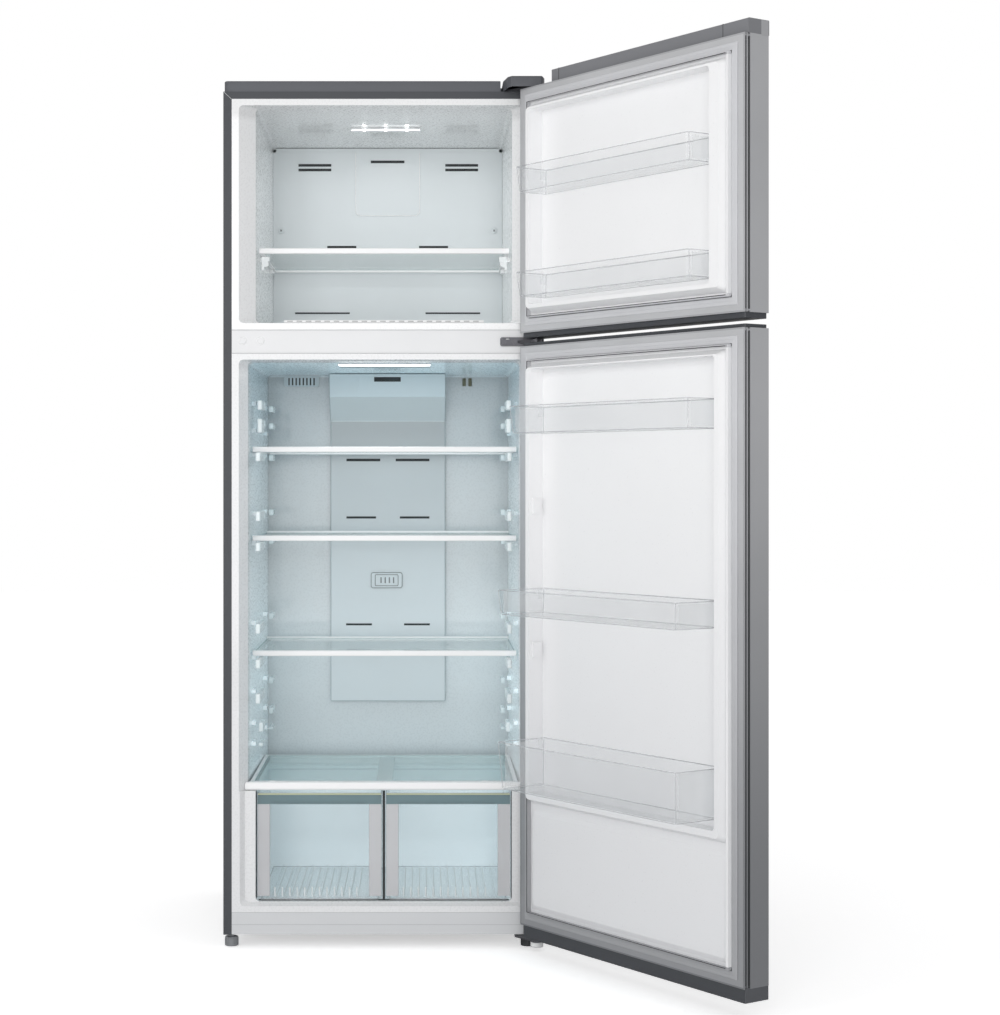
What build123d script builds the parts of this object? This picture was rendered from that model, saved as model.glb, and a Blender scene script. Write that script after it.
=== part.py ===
from build123d import *
import os

# Top freezer refrigerator. Millimetres, +Z up, front towards -Y. The origin is on the floor, midway
# between the cabinet's sides, under the plane of the cabinet's front edge. Both doors stand open.

# ---------------------------------------------------------------- cabinet
cabinet_width = 685.0
cabinet_depth = 620.0
body_top = 1828.7
top_cover_height = 23.0
body_bottom = 27.0
sheet = 2.0
side_flange = 18.0
top_flange = 15.8
liner_wall = 2.0
fit_gap = 0.5
slide_gap = 2.5

# ---------------------------------------------------------------- compartments
opening_half = cabinet_width / 2 - 33.1
freezer_bottom = 1334.0
freezer_top = body_top - 29.3
freezer_half = cabinet_width / 2 - 66.5
freezer_flare = 33.0
fridge_bottom = 96.0
fridge_top = 1256.0
fridge_half = cabinet_width / 2 - 50.5
fridge_flare = 26.0
cavity_depth = 558.0
draft = 4.0
ceiling_fall = 13.0
cavity_radius = 10.0
crisper_ledge = 333.0
crisper_half = cabinet_width / 2 - 68.0
crisper_depth = cavity_depth - 158.0
crisper_face = 10.0
kick_top = 74.7
mullion_low = 1269.4
mullion_high = 1319.2
machine_depth = 164.0
machine_height = 275.0

# ---------------------------------------------------------------- doors
door_gap = 12.0
door_thickness = 63.0
open_angle = 124.4
pivot_side = 18.2
pivot_depth = 29.0
pin_radius = 4.0
pin_clearance = 0.06
freezer_door_low = 1309.4
freezer_door_high = body_top - 3.6
fridge_door_low = 59.0
fridge_door_high = 1281.0
edge_depth = 14.0
edge_inset = 2.5
frame_side = 18.0
frame_end = 14.5
gasket_width = 15.0
gasket_height = 11.5
trim_height = 28.0
trim_start = 95.0
trim_set_back = 10.0
small_cap = 7.0
freezer_bottom_cap = 10.4
fridge_bottom_cap = 27.0
dyke_height = 22.0
recess_depth = 15.0
ledge_low = 322.0
ledge_high = 345.0

# ---------------------------------------------------------------- what stands in the compartments
shelf_front = 100.0
shelf_rear = cavity_depth - 43.0
trim_tall = 12.0
bar_depth = 10.0
glass = 4.0
freezer_shelf_front = 70.0
freezer_shelf_rear = cavity_depth - 73.0
freezer_shelf_level = 1490.0
shelf_levels = {"upper": 1059.5, "middle": 865.4, "lower": 613.8}
spare_levels = (1171.0, 1112.0, 930.0, 690.0, 540.0, 470.0, 425.0)
lug_reach = 8.0
lug_height = 9.0
lug_length = 34.0
cover_front = 14.0
cover_rear = cavity_depth - 103.0
cover_height = 17.5
drawer_front = 20.0
drawer_top = 327.0
drawer_wall = 3.0
drawer_split = 8.0
grip_height = 24.0
bin_wall = 2.5
evaporator_face = cavity_depth - 58.0
duct_half = 137.0
duct_face = cavity_depth - 18.0
duct_upper_face = cavity_depth - 88.0
duct_bend_low = 1140.0
duct_bend_high = 1195.0
duct_low = 469.0

half = cabinet_width / 2
door_face = -door_gap
door_outer = -door_gap - door_thickness
pivot_x = half - pivot_side
pivot_y = -door_gap - pivot_depth
foot_x = half - 16.0
foot_y = 22.0
foot_radius = 14.0
stud_radius = 5.0
roller_x = half - 52.5
roller_y = 560.0
roller_radius = 20.0
roller_width = 16.0
axle_radius = 4.0

os.makedirs("parts", exist_ok=True)


def middle(span):
    return (span[0] + span[1]) / 2


def block(x, y, z, mode=Mode.ADD):
    """A box between two values on each axis, in the part being built."""
    with Locations((middle(x), middle(y), middle(z))):
        Box(x[1] - x[0], y[1] - y[0], z[1] - z[0], mode=mode)


def rod(x, y, z, radius, mode=Mode.ADD):
    """An upright cylinder from z[0] to z[1]."""
    with Locations((x, y, middle(z))):
        Cylinder(radius, z[1] - z[0], mode=mode)


def rod_along_y(x, y, z, radius, mode=Mode.ADD):
    with Locations(Location((x, middle(y), z), (90, 0, 0))):
        Cylinder(radius, y[1] - y[0], mode=mode)


def rod_along_x(x, y, z, radius, mode=Mode.ADD):
    with Locations(Location((middle(x), y, z), (0, 90, 0))):
        Cylinder(radius, x[1] - x[0], mode=mode)


def write(solid, label):
    """Names a finished piece and writes its file."""
    solid.label = label
    export_step(solid, f"parts/{label}.step")


def swing(solid):
    """Turns a piece of a door from shut to the open rest position."""
    return solid.rotate(Axis((pivot_x, pivot_y, 0), (0, 0, 1)), open_angle)


def tunnel(sections, grow=0.0, mode=Mode.ADD, square_floor=False):
    """A drafted space through rounded rectangles given as (y, half width, low, high)."""
    outlines = []
    for number, (y, half_width, low, high) in enumerate(sections):
        reach = grow if number == len(sections) - 1 else 0.0
        with BuildSketch(Plane.XZ.offset(-y - reach)) as outline:
            with Locations((0, (low + high) / 2)):
                Rectangle(2 * (half_width + grow), high - low + 2 * grow)
            corners = outline.vertices().group_by(Axis.Y)[-1] if square_floor else outline.vertices()
            fillet(corners, cavity_radius + grow)
        outlines.append(outline.sketch)
    loft(outlines, ruled=True, mode=mode)


freezer_sections = (
    (0.0, opening_half, freezer_bottom, freezer_top),
    (freezer_flare, freezer_half, freezer_bottom + 3, freezer_top - 2),
    (cavity_depth, freezer_half - draft, freezer_bottom + 3, freezer_top - ceiling_fall),
)
fridge_sections = (
    (0.0, opening_half, crisper_ledge, fridge_top),
    (fridge_flare, fridge_half, crisper_ledge, fridge_top - 3),
    (cavity_depth, fridge_half - draft, crisper_ledge, fridge_top - 6),
)
mouth_inset = 2.0
crisper_mouth = (
    (0.0, opening_half - mouth_inset, fridge_bottom - 8, crisper_ledge + 20),
    (crisper_face, opening_half - crisper_face - mouth_inset, fridge_bottom - 1, crisper_ledge + 20),
)
crisper_sections = (
    (crisper_face - liner_wall, crisper_half, fridge_bottom, crisper_ledge + 3 * cavity_radius),
    (crisper_depth, crisper_half, fridge_bottom, crisper_ledge + 3 * cavity_radius),
)


def freezer_ceiling(y):
    """Height of the freezer's ceiling at a depth behind the flare."""
    share = (y - freezer_flare) / (cavity_depth - freezer_flare)
    return freezer_top - 2 - share * (ceiling_fall - 2)


def fridge_ceiling(y):
    share = (y - fridge_flare) / (cavity_depth - fridge_flare)
    return fridge_top - 3 - 3 * share


def wall_at(y):
    """Half width of the fridge compartment at a depth behind the flare."""
    return fridge_half - draft * (y - fridge_flare) / (cavity_depth - fridge_flare)


def freezer_wall_at(y):
    return freezer_half - draft * (y - freezer_flare) / (cavity_depth - freezer_flare)


# ================================================================ cabinet
rim_half = half - side_flange
rim_top = body_top - top_flange

with BuildPart() as cabinet_shell:
    block((-half, half), (0, cabinet_depth), (body_bottom, body_top))
    block((sheet - half, half - sheet), (sheet, cabinet_depth), (body_bottom, body_top - sheet),
          Mode.SUBTRACT)
    block((-rim_half, rim_half), (0, sheet), (body_bottom, rim_top), Mode.SUBTRACT)
write(cabinet_shell.part, "cabinet_shell")

hinge_notch_x = pivot_x - 74.3
hinge_notch_y = 82.0
with BuildPart() as top_cover:
    with BuildSketch(Plane.XY.offset(body_top)):
        with Locations((0, middle((sheet, cabinet_depth - sheet)))):
            RectangleRounded(cabinet_width - 2 * sheet, cabinet_depth - 2 * sheet, 9)
        with Locations((middle((hinge_notch_x, half)), middle((sheet, hinge_notch_y)))):
            Rectangle(half - hinge_notch_x, hinge_notch_y - sheet, mode=Mode.SUBTRACT)
    extrude(amount=top_cover_height)
    fillet(top_cover.faces().sort_by(Axis.Z)[-1].edges(), 2.5)
    with BuildSketch(Plane.XY.offset(body_top)):
        with Locations((0, middle((hinge_notch_y, cabinet_depth)))):
            RectangleRounded(cabinet_width - 8 * sheet, cabinet_depth - hinge_notch_y - 8 * sheet, 6)
    extrude(amount=top_cover_height - 3, mode=Mode.SUBTRACT)
write(top_cover.part, "top_cover")

gland_x, gland_z = 112.5 - half, 190.0
gland_radius = 9.0
with BuildPart() as back_panel:
    block((sheet - half, half - sheet), (cabinet_depth - sheet - 1, cabinet_depth - 1),
          (body_bottom + 4, body_top - sheet))
    with Locations(Location((60, cabinet_depth - 1, 130), (90, 0, 0))):
        with GridLocations(46, 26, 8, 5):
            Box(34, 6, 10, mode=Mode.SUBTRACT)
    rod_along_y(gland_x, (cabinet_depth - 10, cabinet_depth), gland_z, gland_radius, Mode.SUBTRACT)
write(back_panel.part, "back_panel")

with BuildPart() as power_gland:
    rod_along_y(gland_x, (cabinet_depth - 1, cabinet_depth + 4), gland_z, gland_radius + 4)
    rod_along_y(gland_x, (cabinet_depth - 12, cabinet_depth - 1), gland_z, gland_radius - 0.1)
    rod_along_y(gland_x, (cabinet_depth + 4, cabinet_depth + 16), gland_z, 7)
    rod_along_y(gland_x, (cabinet_depth - 14, cabinet_depth + 18), gland_z, 4, Mode.SUBTRACT)
write(power_gland.part, "power_gland")

machine_front = cabinet_depth - machine_depth
foam_bottom = 50.0
with BuildPart() as insulation:
    block((sheet - half, half - sheet), (sheet, cabinet_depth - sheet - 1), (foam_bottom, body_top - sheet))
    tunnel(freezer_sections, liner_wall, Mode.SUBTRACT)
    tunnel(fridge_sections, liner_wall, Mode.SUBTRACT, square_floor=True)
    tunnel(crisper_mouth, liner_wall, Mode.SUBTRACT)
    tunnel(crisper_sections, liner_wall, Mode.SUBTRACT)
    block((-half, half), (machine_front, cabinet_depth), (body_bottom, machine_height), Mode.SUBTRACT)
write(insulation.part, "insulation")

freezer_lug_fronts = (150.0, cavity_depth - 158.0)
with BuildPart() as freezer_liner:
    block((-rim_half, rim_half), (0, liner_wall), (mullion_high, rim_top))
    tunnel(freezer_sections, liner_wall)
    tunnel(freezer_sections, 0.0, Mode.SUBTRACT)
    for side in (-1, 1):
        for y in freezer_lug_fronts:
            reach = freezer_wall_at(y + lug_length) - lug_reach
            block(sorted((side * reach, side * (freezer_wall_at(y) + 1))), (y, y + lug_length),
                  (freezer_shelf_level - fit_gap - lug_height, freezer_shelf_level - fit_gap))
write(freezer_liner.part, "freezer_liner")

lug_fronts = (122.0, cavity_depth - 138.0)
with BuildPart() as fridge_liner:
    block((-rim_half, rim_half), (0, liner_wall), (kick_top, mullion_low))
    tunnel(fridge_sections, liner_wall, square_floor=True)
    tunnel(crisper_mouth, liner_wall)
    tunnel(crisper_sections, liner_wall)
    tunnel(fridge_sections, 0.0, Mode.SUBTRACT, square_floor=True)
    tunnel(crisper_mouth, 0.0, Mode.SUBTRACT)
    tunnel(crisper_sections, 0.0, Mode.SUBTRACT)
    for level in list(shelf_levels.values()) + list(spare_levels):
        for side in (-1, 1):
            for y in lug_fronts:
                reach = wall_at(y + lug_length) - lug_reach
                block(sorted((side * reach, side * (wall_at(y) + 1))), (y, y + lug_length),
                      (level - fit_gap - lug_height, level - fit_gap))
write(fridge_liner.part, "fridge_liner")

plug_x = (41.5 - half, 79.5 - half)
with BuildPart() as mullion_cover:
    block((-rim_half, rim_half), (0, sheet), (mullion_low, mullion_high))
    for x in plug_x:
        rod_along_y(x, (-1.5, 0), middle((mullion_low, mullion_high)) + 2, 6.5)
write(mullion_cover.part, "mullion_cover")

with BuildPart() as kick_panel:
    block((-rim_half, rim_half), (0, sheet), (body_bottom + 1, kick_top))
    block((-rim_half, rim_half), (sheet, 12), (body_bottom + 2.5, body_bottom + 4.5))
write(kick_panel.part, "kick_panel")

# ---------------------------------------------------------------- freezer fittings
cover_half = freezer_wall_at(evaporator_face) - 5
cover_top = freezer_ceiling(evaporator_face) - 8
slot_height = 7.5
slot_reach = 5.0
panel_wall = 3.0
pad_half = 76.0
pad_height = 152.0
pad_lift = 1.5
fan_z = cover_top - 91.0
fan_hub = 14.0
shaft_radius = 3.0
cap_x = cover_half - 19.0
cap_z = freezer_bottom + 257.0
cap_radius = 8.0
motor_rear = evaporator_face + 16.0
evaporator_slots = (
    (-173.0, cover_top - 33, 78.0), (-173.0, cover_top - 44, 78.0), (176.0, cover_top - 33, 78.0),
    (176.0, cover_top - 44, 78.0), (0.0, cover_top - 25, 80.0),
    (-109.0, freezer_bottom + 218, 69.0), (109.0, freezer_bottom + 218, 69.0),
    (-155.0, freezer_bottom + 61, 130.0), (155.0, freezer_bottom + 61, 130.0),
)
with BuildPart() as evaporator_cover:
    with BuildSketch(Plane.XZ.offset(-evaporator_face)):
        with Locations((0, middle((freezer_bottom + 5, cover_top)))):
            RectangleRounded(2 * cover_half, cover_top - freezer_bottom - 5, 8)
    extrude(amount=-(cavity_depth - evaporator_face - 1))
    block((panel_wall - cover_half, cover_half - panel_wall), (evaporator_face + panel_wall, cavity_depth),
          (freezer_bottom + 5 + panel_wall, cover_top - panel_wall), Mode.SUBTRACT)
    block((-pad_half, pad_half), (evaporator_face - pad_lift, evaporator_face),
          (cover_top - 1 - pad_height, cover_top - 1))
    for x, z, length in evaporator_slots:
        block((x - length / 2, x + length / 2), (evaporator_face - slot_reach, evaporator_face + slot_reach),
              (z - slot_height / 2, z + slot_height / 2), Mode.SUBTRACT)
    for x in (-cap_x, cap_x):
        rod_along_y(x, (evaporator_face - pad_lift, evaporator_face), cap_z, cap_radius)
    rod_along_y(0, (evaporator_face + 2, motor_rear), fan_z, 2 * fan_hub)
    rod_along_y(0, (motor_rear, cavity_depth - 6), fan_z, shaft_radius)
write(evaporator_cover.part, "evaporator_cover")

fan_back = cavity_depth - 10
blade_angle = 60
blade_thickness = 4.0
blade_outline = ((fan_hub - 2, -6), (46, -14), (50, 0), (44, 12), (fan_hub - 2, 6))
with BuildPart() as evaporator_fan:
    rod_along_y(0, (motor_rear + 2, fan_back), fan_z, fan_hub)
    for angle in range(0, 360, blade_angle):
        turned = Plane(origin=(0, fan_back - 15, fan_z), z_dir=(0, 1, 0)).rotated((0, angle, 0))
        with BuildSketch(turned):
            with BuildLine():
                Polyline(*blade_outline, close=True)
            make_face()
        extrude(amount=blade_thickness / 2, both=True)
    rod_along_y(0, (evaporator_face + 10, cavity_depth), fan_z, shaft_radius + pin_clearance, Mode.SUBTRACT)
write(evaporator_fan.part, "evaporator_fan")

fin_count = 15
fin_pitch = 32.0
fin_thickness = 1.2
coil_low, coil_high = 1352.0, 1560.0
coil_rows = range(1370, 1560, 34)
coil_pipe_half = 240.0
coil_pipe_radius = 4.0
coil_columns = (evaporator_face + 20, evaporator_face + 42)
coil_plate = (232.0, 238.0)
with BuildPart() as evaporator_coil:
    for step in range(fin_count):
        x = fin_pitch * (step - (fin_count - 1) / 2)
        block((x - fin_thickness / 2, x + fin_thickness / 2), (evaporator_face + 8, cavity_depth - 4),
              (coil_low, coil_high))
    for y in coil_columns:
        for z in coil_rows:
            rod_along_x((-coil_pipe_half, coil_pipe_half), y, z, coil_pipe_radius)
    for inner, outer in (coil_plate, (-coil_plate[1], -coil_plate[0])):
        block((inner, outer), (coil_columns[0] - 4, coil_columns[1] + 4), (coil_low + 14, coil_high - 16))
write(evaporator_coil.part, "evaporator_coil")

freezer_lamp = (246.0, 270.0)
freezer_lamp_half = 79.0
freezer_lamp_drop = 5.0
with BuildPart() as freezer_light:
    ceiling = freezer_ceiling(freezer_lamp[1])
    block((-freezer_lamp_half, freezer_lamp_half), freezer_lamp,
          (ceiling - freezer_lamp_drop, ceiling - 0.2))
    fillet(freezer_light.edges().filter_by(Axis.Z), 4)
write(freezer_light.part, "freezer_light")

grille_half = 215.0
grille_front, grille_rear = freezer_flare + 1, freezer_flare + 31
grille_thickness = 3.0
grille_pitch = 20.0
grille_holes = 21
with BuildPart() as return_grille:
    floor_z = freezer_bottom + 3.2
    block((-grille_half, grille_half), (grille_front, grille_rear), (floor_z, floor_z + grille_thickness))
    with Locations((0, middle((grille_front, grille_rear)), floor_z + grille_thickness / 2)):
        with GridLocations(grille_pitch, 1, grille_holes, 1):
            Box(13, 18, 6, mode=Mode.SUBTRACT)
write(return_grille.part, "return_grille")

# ---------------------------------------------------------------- fridge fittings
duct_top = fridge_ceiling(cavity_depth) - 1
duct_wall = 3.0
duct_slots = (
    (-59.0, 1046.5, 80.0, 5.0), (59.0, 1046.5, 80.0, 5.0), (-64.0, 908.7, 70.0, 4.0),
    (64.0, 908.7, 70.0, 4.0), (-69.5, 652.4, 61.0, 3.5), (69.5, 652.4, 61.0, 3.5),
)


def duct_profile(inset):
    """The duct's side outline in the YZ plane, drawn in by inset."""
    with BuildSketch(Plane.YZ.offset(inset - duct_half)) as outline:
        with BuildLine():
            Polyline(
                (cavity_depth - 2 + (5 if inset else 0), duct_low + inset),
                (duct_face + inset, duct_low + inset),
                (duct_face + inset, duct_bend_low + inset),
                (duct_upper_face + inset, duct_bend_high + inset),
                (duct_upper_face + inset, duct_top - inset),
                (cavity_depth - 2 + (5 if inset else 0), duct_top - inset),
                close=True,
            )
        make_face()
    return outline.sketch


with BuildPart() as air_duct_cover:
    extrude(duct_profile(0.0), amount=2 * duct_half)
    extrude(duct_profile(duct_wall), amount=2 * (duct_half - duct_wall), mode=Mode.SUBTRACT)
    for x, z, length, height in duct_slots:
        block((x - length / 2, x + length / 2), (duct_face - 4, duct_face + 6),
              (z - height / 2, z + height / 2), Mode.SUBTRACT)
    block((-31, 31), (duct_upper_face - 6, duct_upper_face + 6), (duct_top - 18, duct_top - 8),
          Mode.SUBTRACT)
write(air_duct_cover.part, "air_duct_cover")

filter_x, filter_z = -3.0, 758.5
filter_width, filter_height = 74.0, 36.0
filter_border = 10.0
filter_thickness = 4.0
filter_dish = 1.2
with BuildPart() as filter_cover:
    with BuildSketch(Plane.XZ.offset(-duct_face)):
        with Locations((filter_x, filter_z)):
            RectangleRounded(filter_width, filter_height, 5)
    extrude(amount=filter_thickness)
    with BuildSketch(Plane.XZ.offset(filter_thickness - duct_face)):
        with Locations((filter_x, filter_z)):
            RectangleRounded(filter_width - 2 * filter_border, filter_height - filter_border, 3)
    extrude(amount=-filter_dish, mode=Mode.SUBTRACT)
write(filter_cover.part, "filter_cover")

vent_x, vent_z = -208.0, 1235.0
vent_width, vent_height = 84.0, 24.0
vent_pitch = 8.6
vent_slots = 8
vent_thickness = 4.0
with BuildPart() as vent_grille:
    with BuildSketch(Plane.XZ.offset(-cavity_depth)):
        with Locations((vent_x, vent_z)):
            RectangleRounded(vent_width, vent_height, 4)
    extrude(amount=vent_thickness)
    with Locations((vent_x, cavity_depth - vent_thickness / 2, vent_z)):
        with GridLocations(vent_pitch, 1, vent_slots, 1):
            Box(3.2, 10, 17, mode=Mode.SUBTRACT)
write(vent_grille.part, "vent_grille")

fridge_lamp = (75.0, 200.0)
fridge_lamp_half = 101.0
fridge_lamp_drop = 3.0
with BuildPart() as fridge_light:
    ceiling = fridge_ceiling(fridge_lamp[1])
    block((-fridge_lamp_half, fridge_lamp_half), fridge_lamp, (ceiling - fridge_lamp_drop, ceiling - 0.1))
    fillet(fridge_light.edges().filter_by(Axis.Z), 6)
    fillet(fridge_light.faces().sort_by(Axis.Z)[0].edges(), 1)
write(fridge_light.part, "fridge_light")

# ---------------------------------------------------------------- hinges
plate = 4.0
plate_left = pivot_x - 62.3
with BuildPart() as top_hinge:
    with BuildSketch(Plane.XY.offset(body_top)):
        with BuildLine():
            Polyline((plate_left, 70), (plate_left, 4), (pivot_x - 12, pivot_y), (pivot_x + 10, pivot_y - 8),
                     (pivot_x + 12, 30), (pivot_x + 5.7, 70), close=True)
        make_face()
        with Locations((pivot_x, pivot_y)):
            Circle(12)
    extrude(amount=plate)
    rod(pivot_x, pivot_y, (body_top - 16, body_top + 1), pin_radius)
    for x in (pivot_x - 46.3, pivot_x - 12.3):
        rod(x, 45, (body_top + plate, body_top + plate + 5), 6)
write(top_hinge.part, "top_hinge")

hinge_cover_high = 22.0
hood_left = pivot_x - 69.3
with BuildPart() as hinge_cover:
    with BuildSketch(Plane.XY.offset(body_top + 0.3)):
        with BuildLine():
            Polyline((hood_left, 78), (hood_left, -2), (pivot_x - 62, pivot_y - 6),
                     (pivot_x - 54, pivot_y - 18),
                     (pivot_x + 12, pivot_y - 18), (half - 1, pivot_y + 4), (half - 1, 78), close=True)
        make_face()
        fillet(vertices(), 4)
    extrude(amount=hinge_cover_high)
    fillet(hinge_cover.faces().sort_by(Axis.Z)[-1].edges(), 3)
    with BuildSketch(Plane.XY.offset(body_top + 0.3)):
        with BuildLine():
            Polyline((hood_left + 3, 75), (hood_left + 3, -2), (pivot_x - 59, pivot_y - 5),
                     (pivot_x - 52, pivot_y - 15),
                     (pivot_x + 11, pivot_y - 15), (half - 3.5, pivot_y + 5), (half - 3.5, 75), close=True)
        make_face()
    extrude(amount=hinge_cover_high - 3, mode=Mode.SUBTRACT)
write(hinge_cover.part, "hinge_cover")

arm_low = fridge_door_high + small_cap + 2.4
arm_high = arm_low + 6.0
arm_plate_left = pivot_x - 75.3
arm_plate_right = pivot_x - 2.3
with BuildPart() as middle_hinge:
    block((arm_plate_left, arm_plate_right), (-4, 0), (arm_low - 6, arm_high + 7))
    fillet(middle_hinge.edges().filter_by(Axis.Y), 4)
    with BuildSketch(Plane.XY.offset(arm_low)):
        with BuildLine():
            Polyline((pivot_x - 40.3, -1), (pivot_x - 11, pivot_y + 4), (pivot_x + 10, pivot_y + 2),
                     (arm_plate_right, -1), close=True)
        make_face()
        with Locations((pivot_x, pivot_y)):
            Circle(11)
    extrude(amount=arm_high - arm_low)
    rod(pivot_x, pivot_y, (fridge_door_high + 0.8, freezer_door_low - 0.8), pin_radius)
    for x in (arm_plate_left + 9, arm_plate_left + 30):
        rod_along_y(x, (-6, -4), middle((arm_low, arm_high)) + 0.5, 5)
write(middle_hinge.part, "middle_hinge")

bracket_high = body_bottom - fit_gap
bracket_low = bracket_high - 4.0
bracket_left = pivot_x - 44.3
bracket_right = half - 6.5
with BuildPart() as bottom_hinge:
    with BuildSketch(Plane.XY.offset(bracket_low)):
        with BuildLine():
            Polyline((bracket_left, 40), (bracket_left, -2), (pivot_x - 12, pivot_y),
                     (pivot_x + 12, pivot_y),
                     (bracket_right, -2), (bracket_right, 40), close=True)
        make_face()
        with Locations((pivot_x, pivot_y)):
            Circle(12)
        with Locations((foot_x - 18, foot_y)):
            Circle(stud_radius + 1.2, mode=Mode.SUBTRACT)
    extrude(amount=bracket_high - bracket_low)
    rod(pivot_x, pivot_y, (bracket_low + 1, fridge_door_low - 6), pin_radius)
    rod(pivot_x + 1.7, -26, (8, bracket_low), 13)
write(bottom_hinge.part, "bottom_hinge")

# ---------------------------------------------------------------- base and machine compartment
left_foot = (-foot_x, foot_y)
right_foot = (foot_x - 18, foot_y)
plate_low = bracket_high + 0.3
plate_high = plate_low + 2.0
with BuildPart() as base_plate:
    block((sheet - half + 0.3, half - sheet - 0.3), (14, cabinet_depth - 6), (plate_low, plate_high))
    for x, y in (left_foot, right_foot):
        rod(x, y, (plate_low - 1, plate_high + 1), stud_radius + 0.09, Mode.SUBTRACT)
    for side in (-1, 1):
        gap = roller_width / 2 + 1
        block((side * roller_x - gap, side * roller_x + gap), (roller_y - 24, roller_y + 24),
              (plate_low - 1, plate_high + 1), Mode.SUBTRACT)
        for edge in (-1, 1):
            inner = side * roller_x + edge * gap
            outer = inner + edge * 3
            block(sorted((inner, outer)), (roller_y - 14, roller_y + 14), (roller_radius - 8, plate_high))
        rod_along_x((side * roller_x - gap - 2, side * roller_x + gap + 2), roller_y, roller_radius,
                    axle_radius)
write(base_plate.part, "base_plate")

foot_height = 20.0
foot_stud_end = 44.0
for name, (x, y) in (("foot_left", left_foot), ("foot_right", right_foot)):
    with BuildPart() as foot:
        rod(x, y, (0, foot_height), foot_radius)
        fillet(foot.edges().filter_by(GeomType.CIRCLE), 1.5)
        with Locations((x, y, foot_height / 2 + 2)):
            with PolarLocations(foot_radius, 16):
                Cylinder(1.3, foot_height - 6, mode=Mode.SUBTRACT)
        rod(x, y, (foot_height - 2, foot_stud_end), stud_radius)
    write(foot.part, name)

for name, side in (("roller_left", -1), ("roller_right", 1)):
    with BuildPart() as roller:
        span = (side * roller_x - roller_width / 2, side * roller_x + roller_width / 2)
        rod_along_x(span, roller_y, roller_radius, roller_radius)
        fillet(roller.edges().filter_by(GeomType.CIRCLE), 2)
        rod_along_x((span[0] - 1, span[1] + 1), roller_y, roller_radius, axle_radius + 0.08, Mode.SUBTRACT)
    write(roller.part, name)

compressor_x = 90.0
compressor_y = machine_front + machine_depth / 2
with BuildPart() as compressor:
    rod(compressor_x, compressor_y, (plate_high + 12, plate_high + 150), 64)
    fillet(compressor.edges().filter_by(GeomType.CIRCLE), 28)
    for side in (-1, 1):
        rod(compressor_x + side * 50, compressor_y, (plate_high + 0.1, plate_high + 45), 9)
    rod_along_x((compressor_x - 90, compressor_x - 50), compressor_y, plate_high + 90, 5)
write(compressor.part, "compressor")

with BuildPart() as drain_pan:
    block((-260, -40), (machine_front + 14, cabinet_depth - 24), (plate_high + 6, plate_high + 46))
    block((-257, -43), (machine_front + 17, cabinet_depth - 27), (plate_high + 9, plate_high + 50),
          Mode.SUBTRACT)
    for x in (-240.0, -60.0):
        rod(x, compressor_y, (plate_high + 0.1, plate_high + 8), 8)
write(drain_pan.part, "drain_pan")


# ================================================================ shelves
def glass_shelf(name, level, front, rear, half_width):
    """A sheet of glass in a trim: bars at front and rear, joined by rails under its sides."""
    with BuildPart() as trim:
        block((-half_width, half_width), (front, front + bar_depth), (level, level + trim_tall))
        fillet(trim.edges().filter_by(Axis.X), 2)
        block((-half_width, half_width), (rear - bar_depth, rear), (level, level + trim_tall))
        for side in (-1, 1):
            block(sorted((side * (half_width - 8), side * half_width)), (front + 4, rear - 4),
                  (level, level + 3.5))
    write(trim.part, f"{name}_trim")
    with BuildPart() as pane:
        block((1 - half_width, half_width - 1), (front + bar_depth, rear - bar_depth),
              (level + 3.5, level + 3.5 + glass))
    write(pane.part, f"{name}_glass")


glass_shelf("freezer_shelf", freezer_shelf_level, freezer_shelf_front, freezer_shelf_rear,
            freezer_wall_at(freezer_shelf_rear) - slide_gap + 1)
shelf_half = wall_at(shelf_rear) - fit_gap + 0.2
for place, level in shelf_levels.items():
    glass_shelf(f"{place}_shelf", level, shelf_front, shelf_rear, shelf_half)

# ---------------------------------------------------------------- crisper
cover_low = crisper_ledge + fit_gap
cover_high = cover_low + cover_height
cover_side = wall_at(cover_rear) - 1.5
flare_slope = (opening_half - fridge_half) / fridge_flare
front_half = opening_half - flare_slope * cover_front - 2.5
rebate = glass + 0.2
slot_x = crisper_half - 46.5
slot_half = 18.0
with BuildPart() as crisper_cover:
    with BuildSketch(Plane.XY.offset(cover_low)):
        with BuildLine():
            Polyline((-front_half, cover_front), (front_half, cover_front), (cover_side, fridge_flare),
                     (cover_side, cover_rear), (-cover_side, cover_rear), (-cover_side, fridge_flare),
                     close=True)
        make_face()
    extrude(amount=cover_height)
    front_edge = crisper_cover.edges().filter_by(Axis.X).group_by(Axis.Y)[0]
    fillet(front_edge, 5)
    for span in ((14 - cover_side, -17), (17, cover_side - 14)):
        block(span, (cover_front + 30, cover_rear - 16), (cover_low - 1, cover_high + 1), Mode.SUBTRACT)
    block((8 - cover_side, cover_side - 8), (cover_front + 22, cover_rear - 8),
          (cover_high - rebate, cover_high + 1), Mode.SUBTRACT)
    for side in (-1, 1):
        block((side * slot_x - slot_half, side * slot_x + slot_half), (cover_front + 8, cover_front + 16),
              (cover_high - 5, cover_high + 1), Mode.SUBTRACT)
write(crisper_cover.part, "crisper_cover_frame")

with BuildPart() as crisper_glass:
    block((8.5 - cover_side, cover_side - 8.5), (cover_front + 22.5, cover_rear - 8.5),
          (cover_high - rebate, cover_high - rebate + glass))
write(crisper_glass.part, "crisper_cover_glass")

for name, side in (("humidity_slider_left", -1), ("humidity_slider_right", 1)):
    with BuildPart() as slider:
        start = side * slot_x - slot_half + 1
        block((start, start + 12), (cover_front + 8.4, cover_front + 15.6),
              (cover_high - 4.6, cover_high + 1.5))
        fillet(slider.faces().sort_by(Axis.Z)[-1].edges(), 0.8)
    write(slider.part, name)


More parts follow.
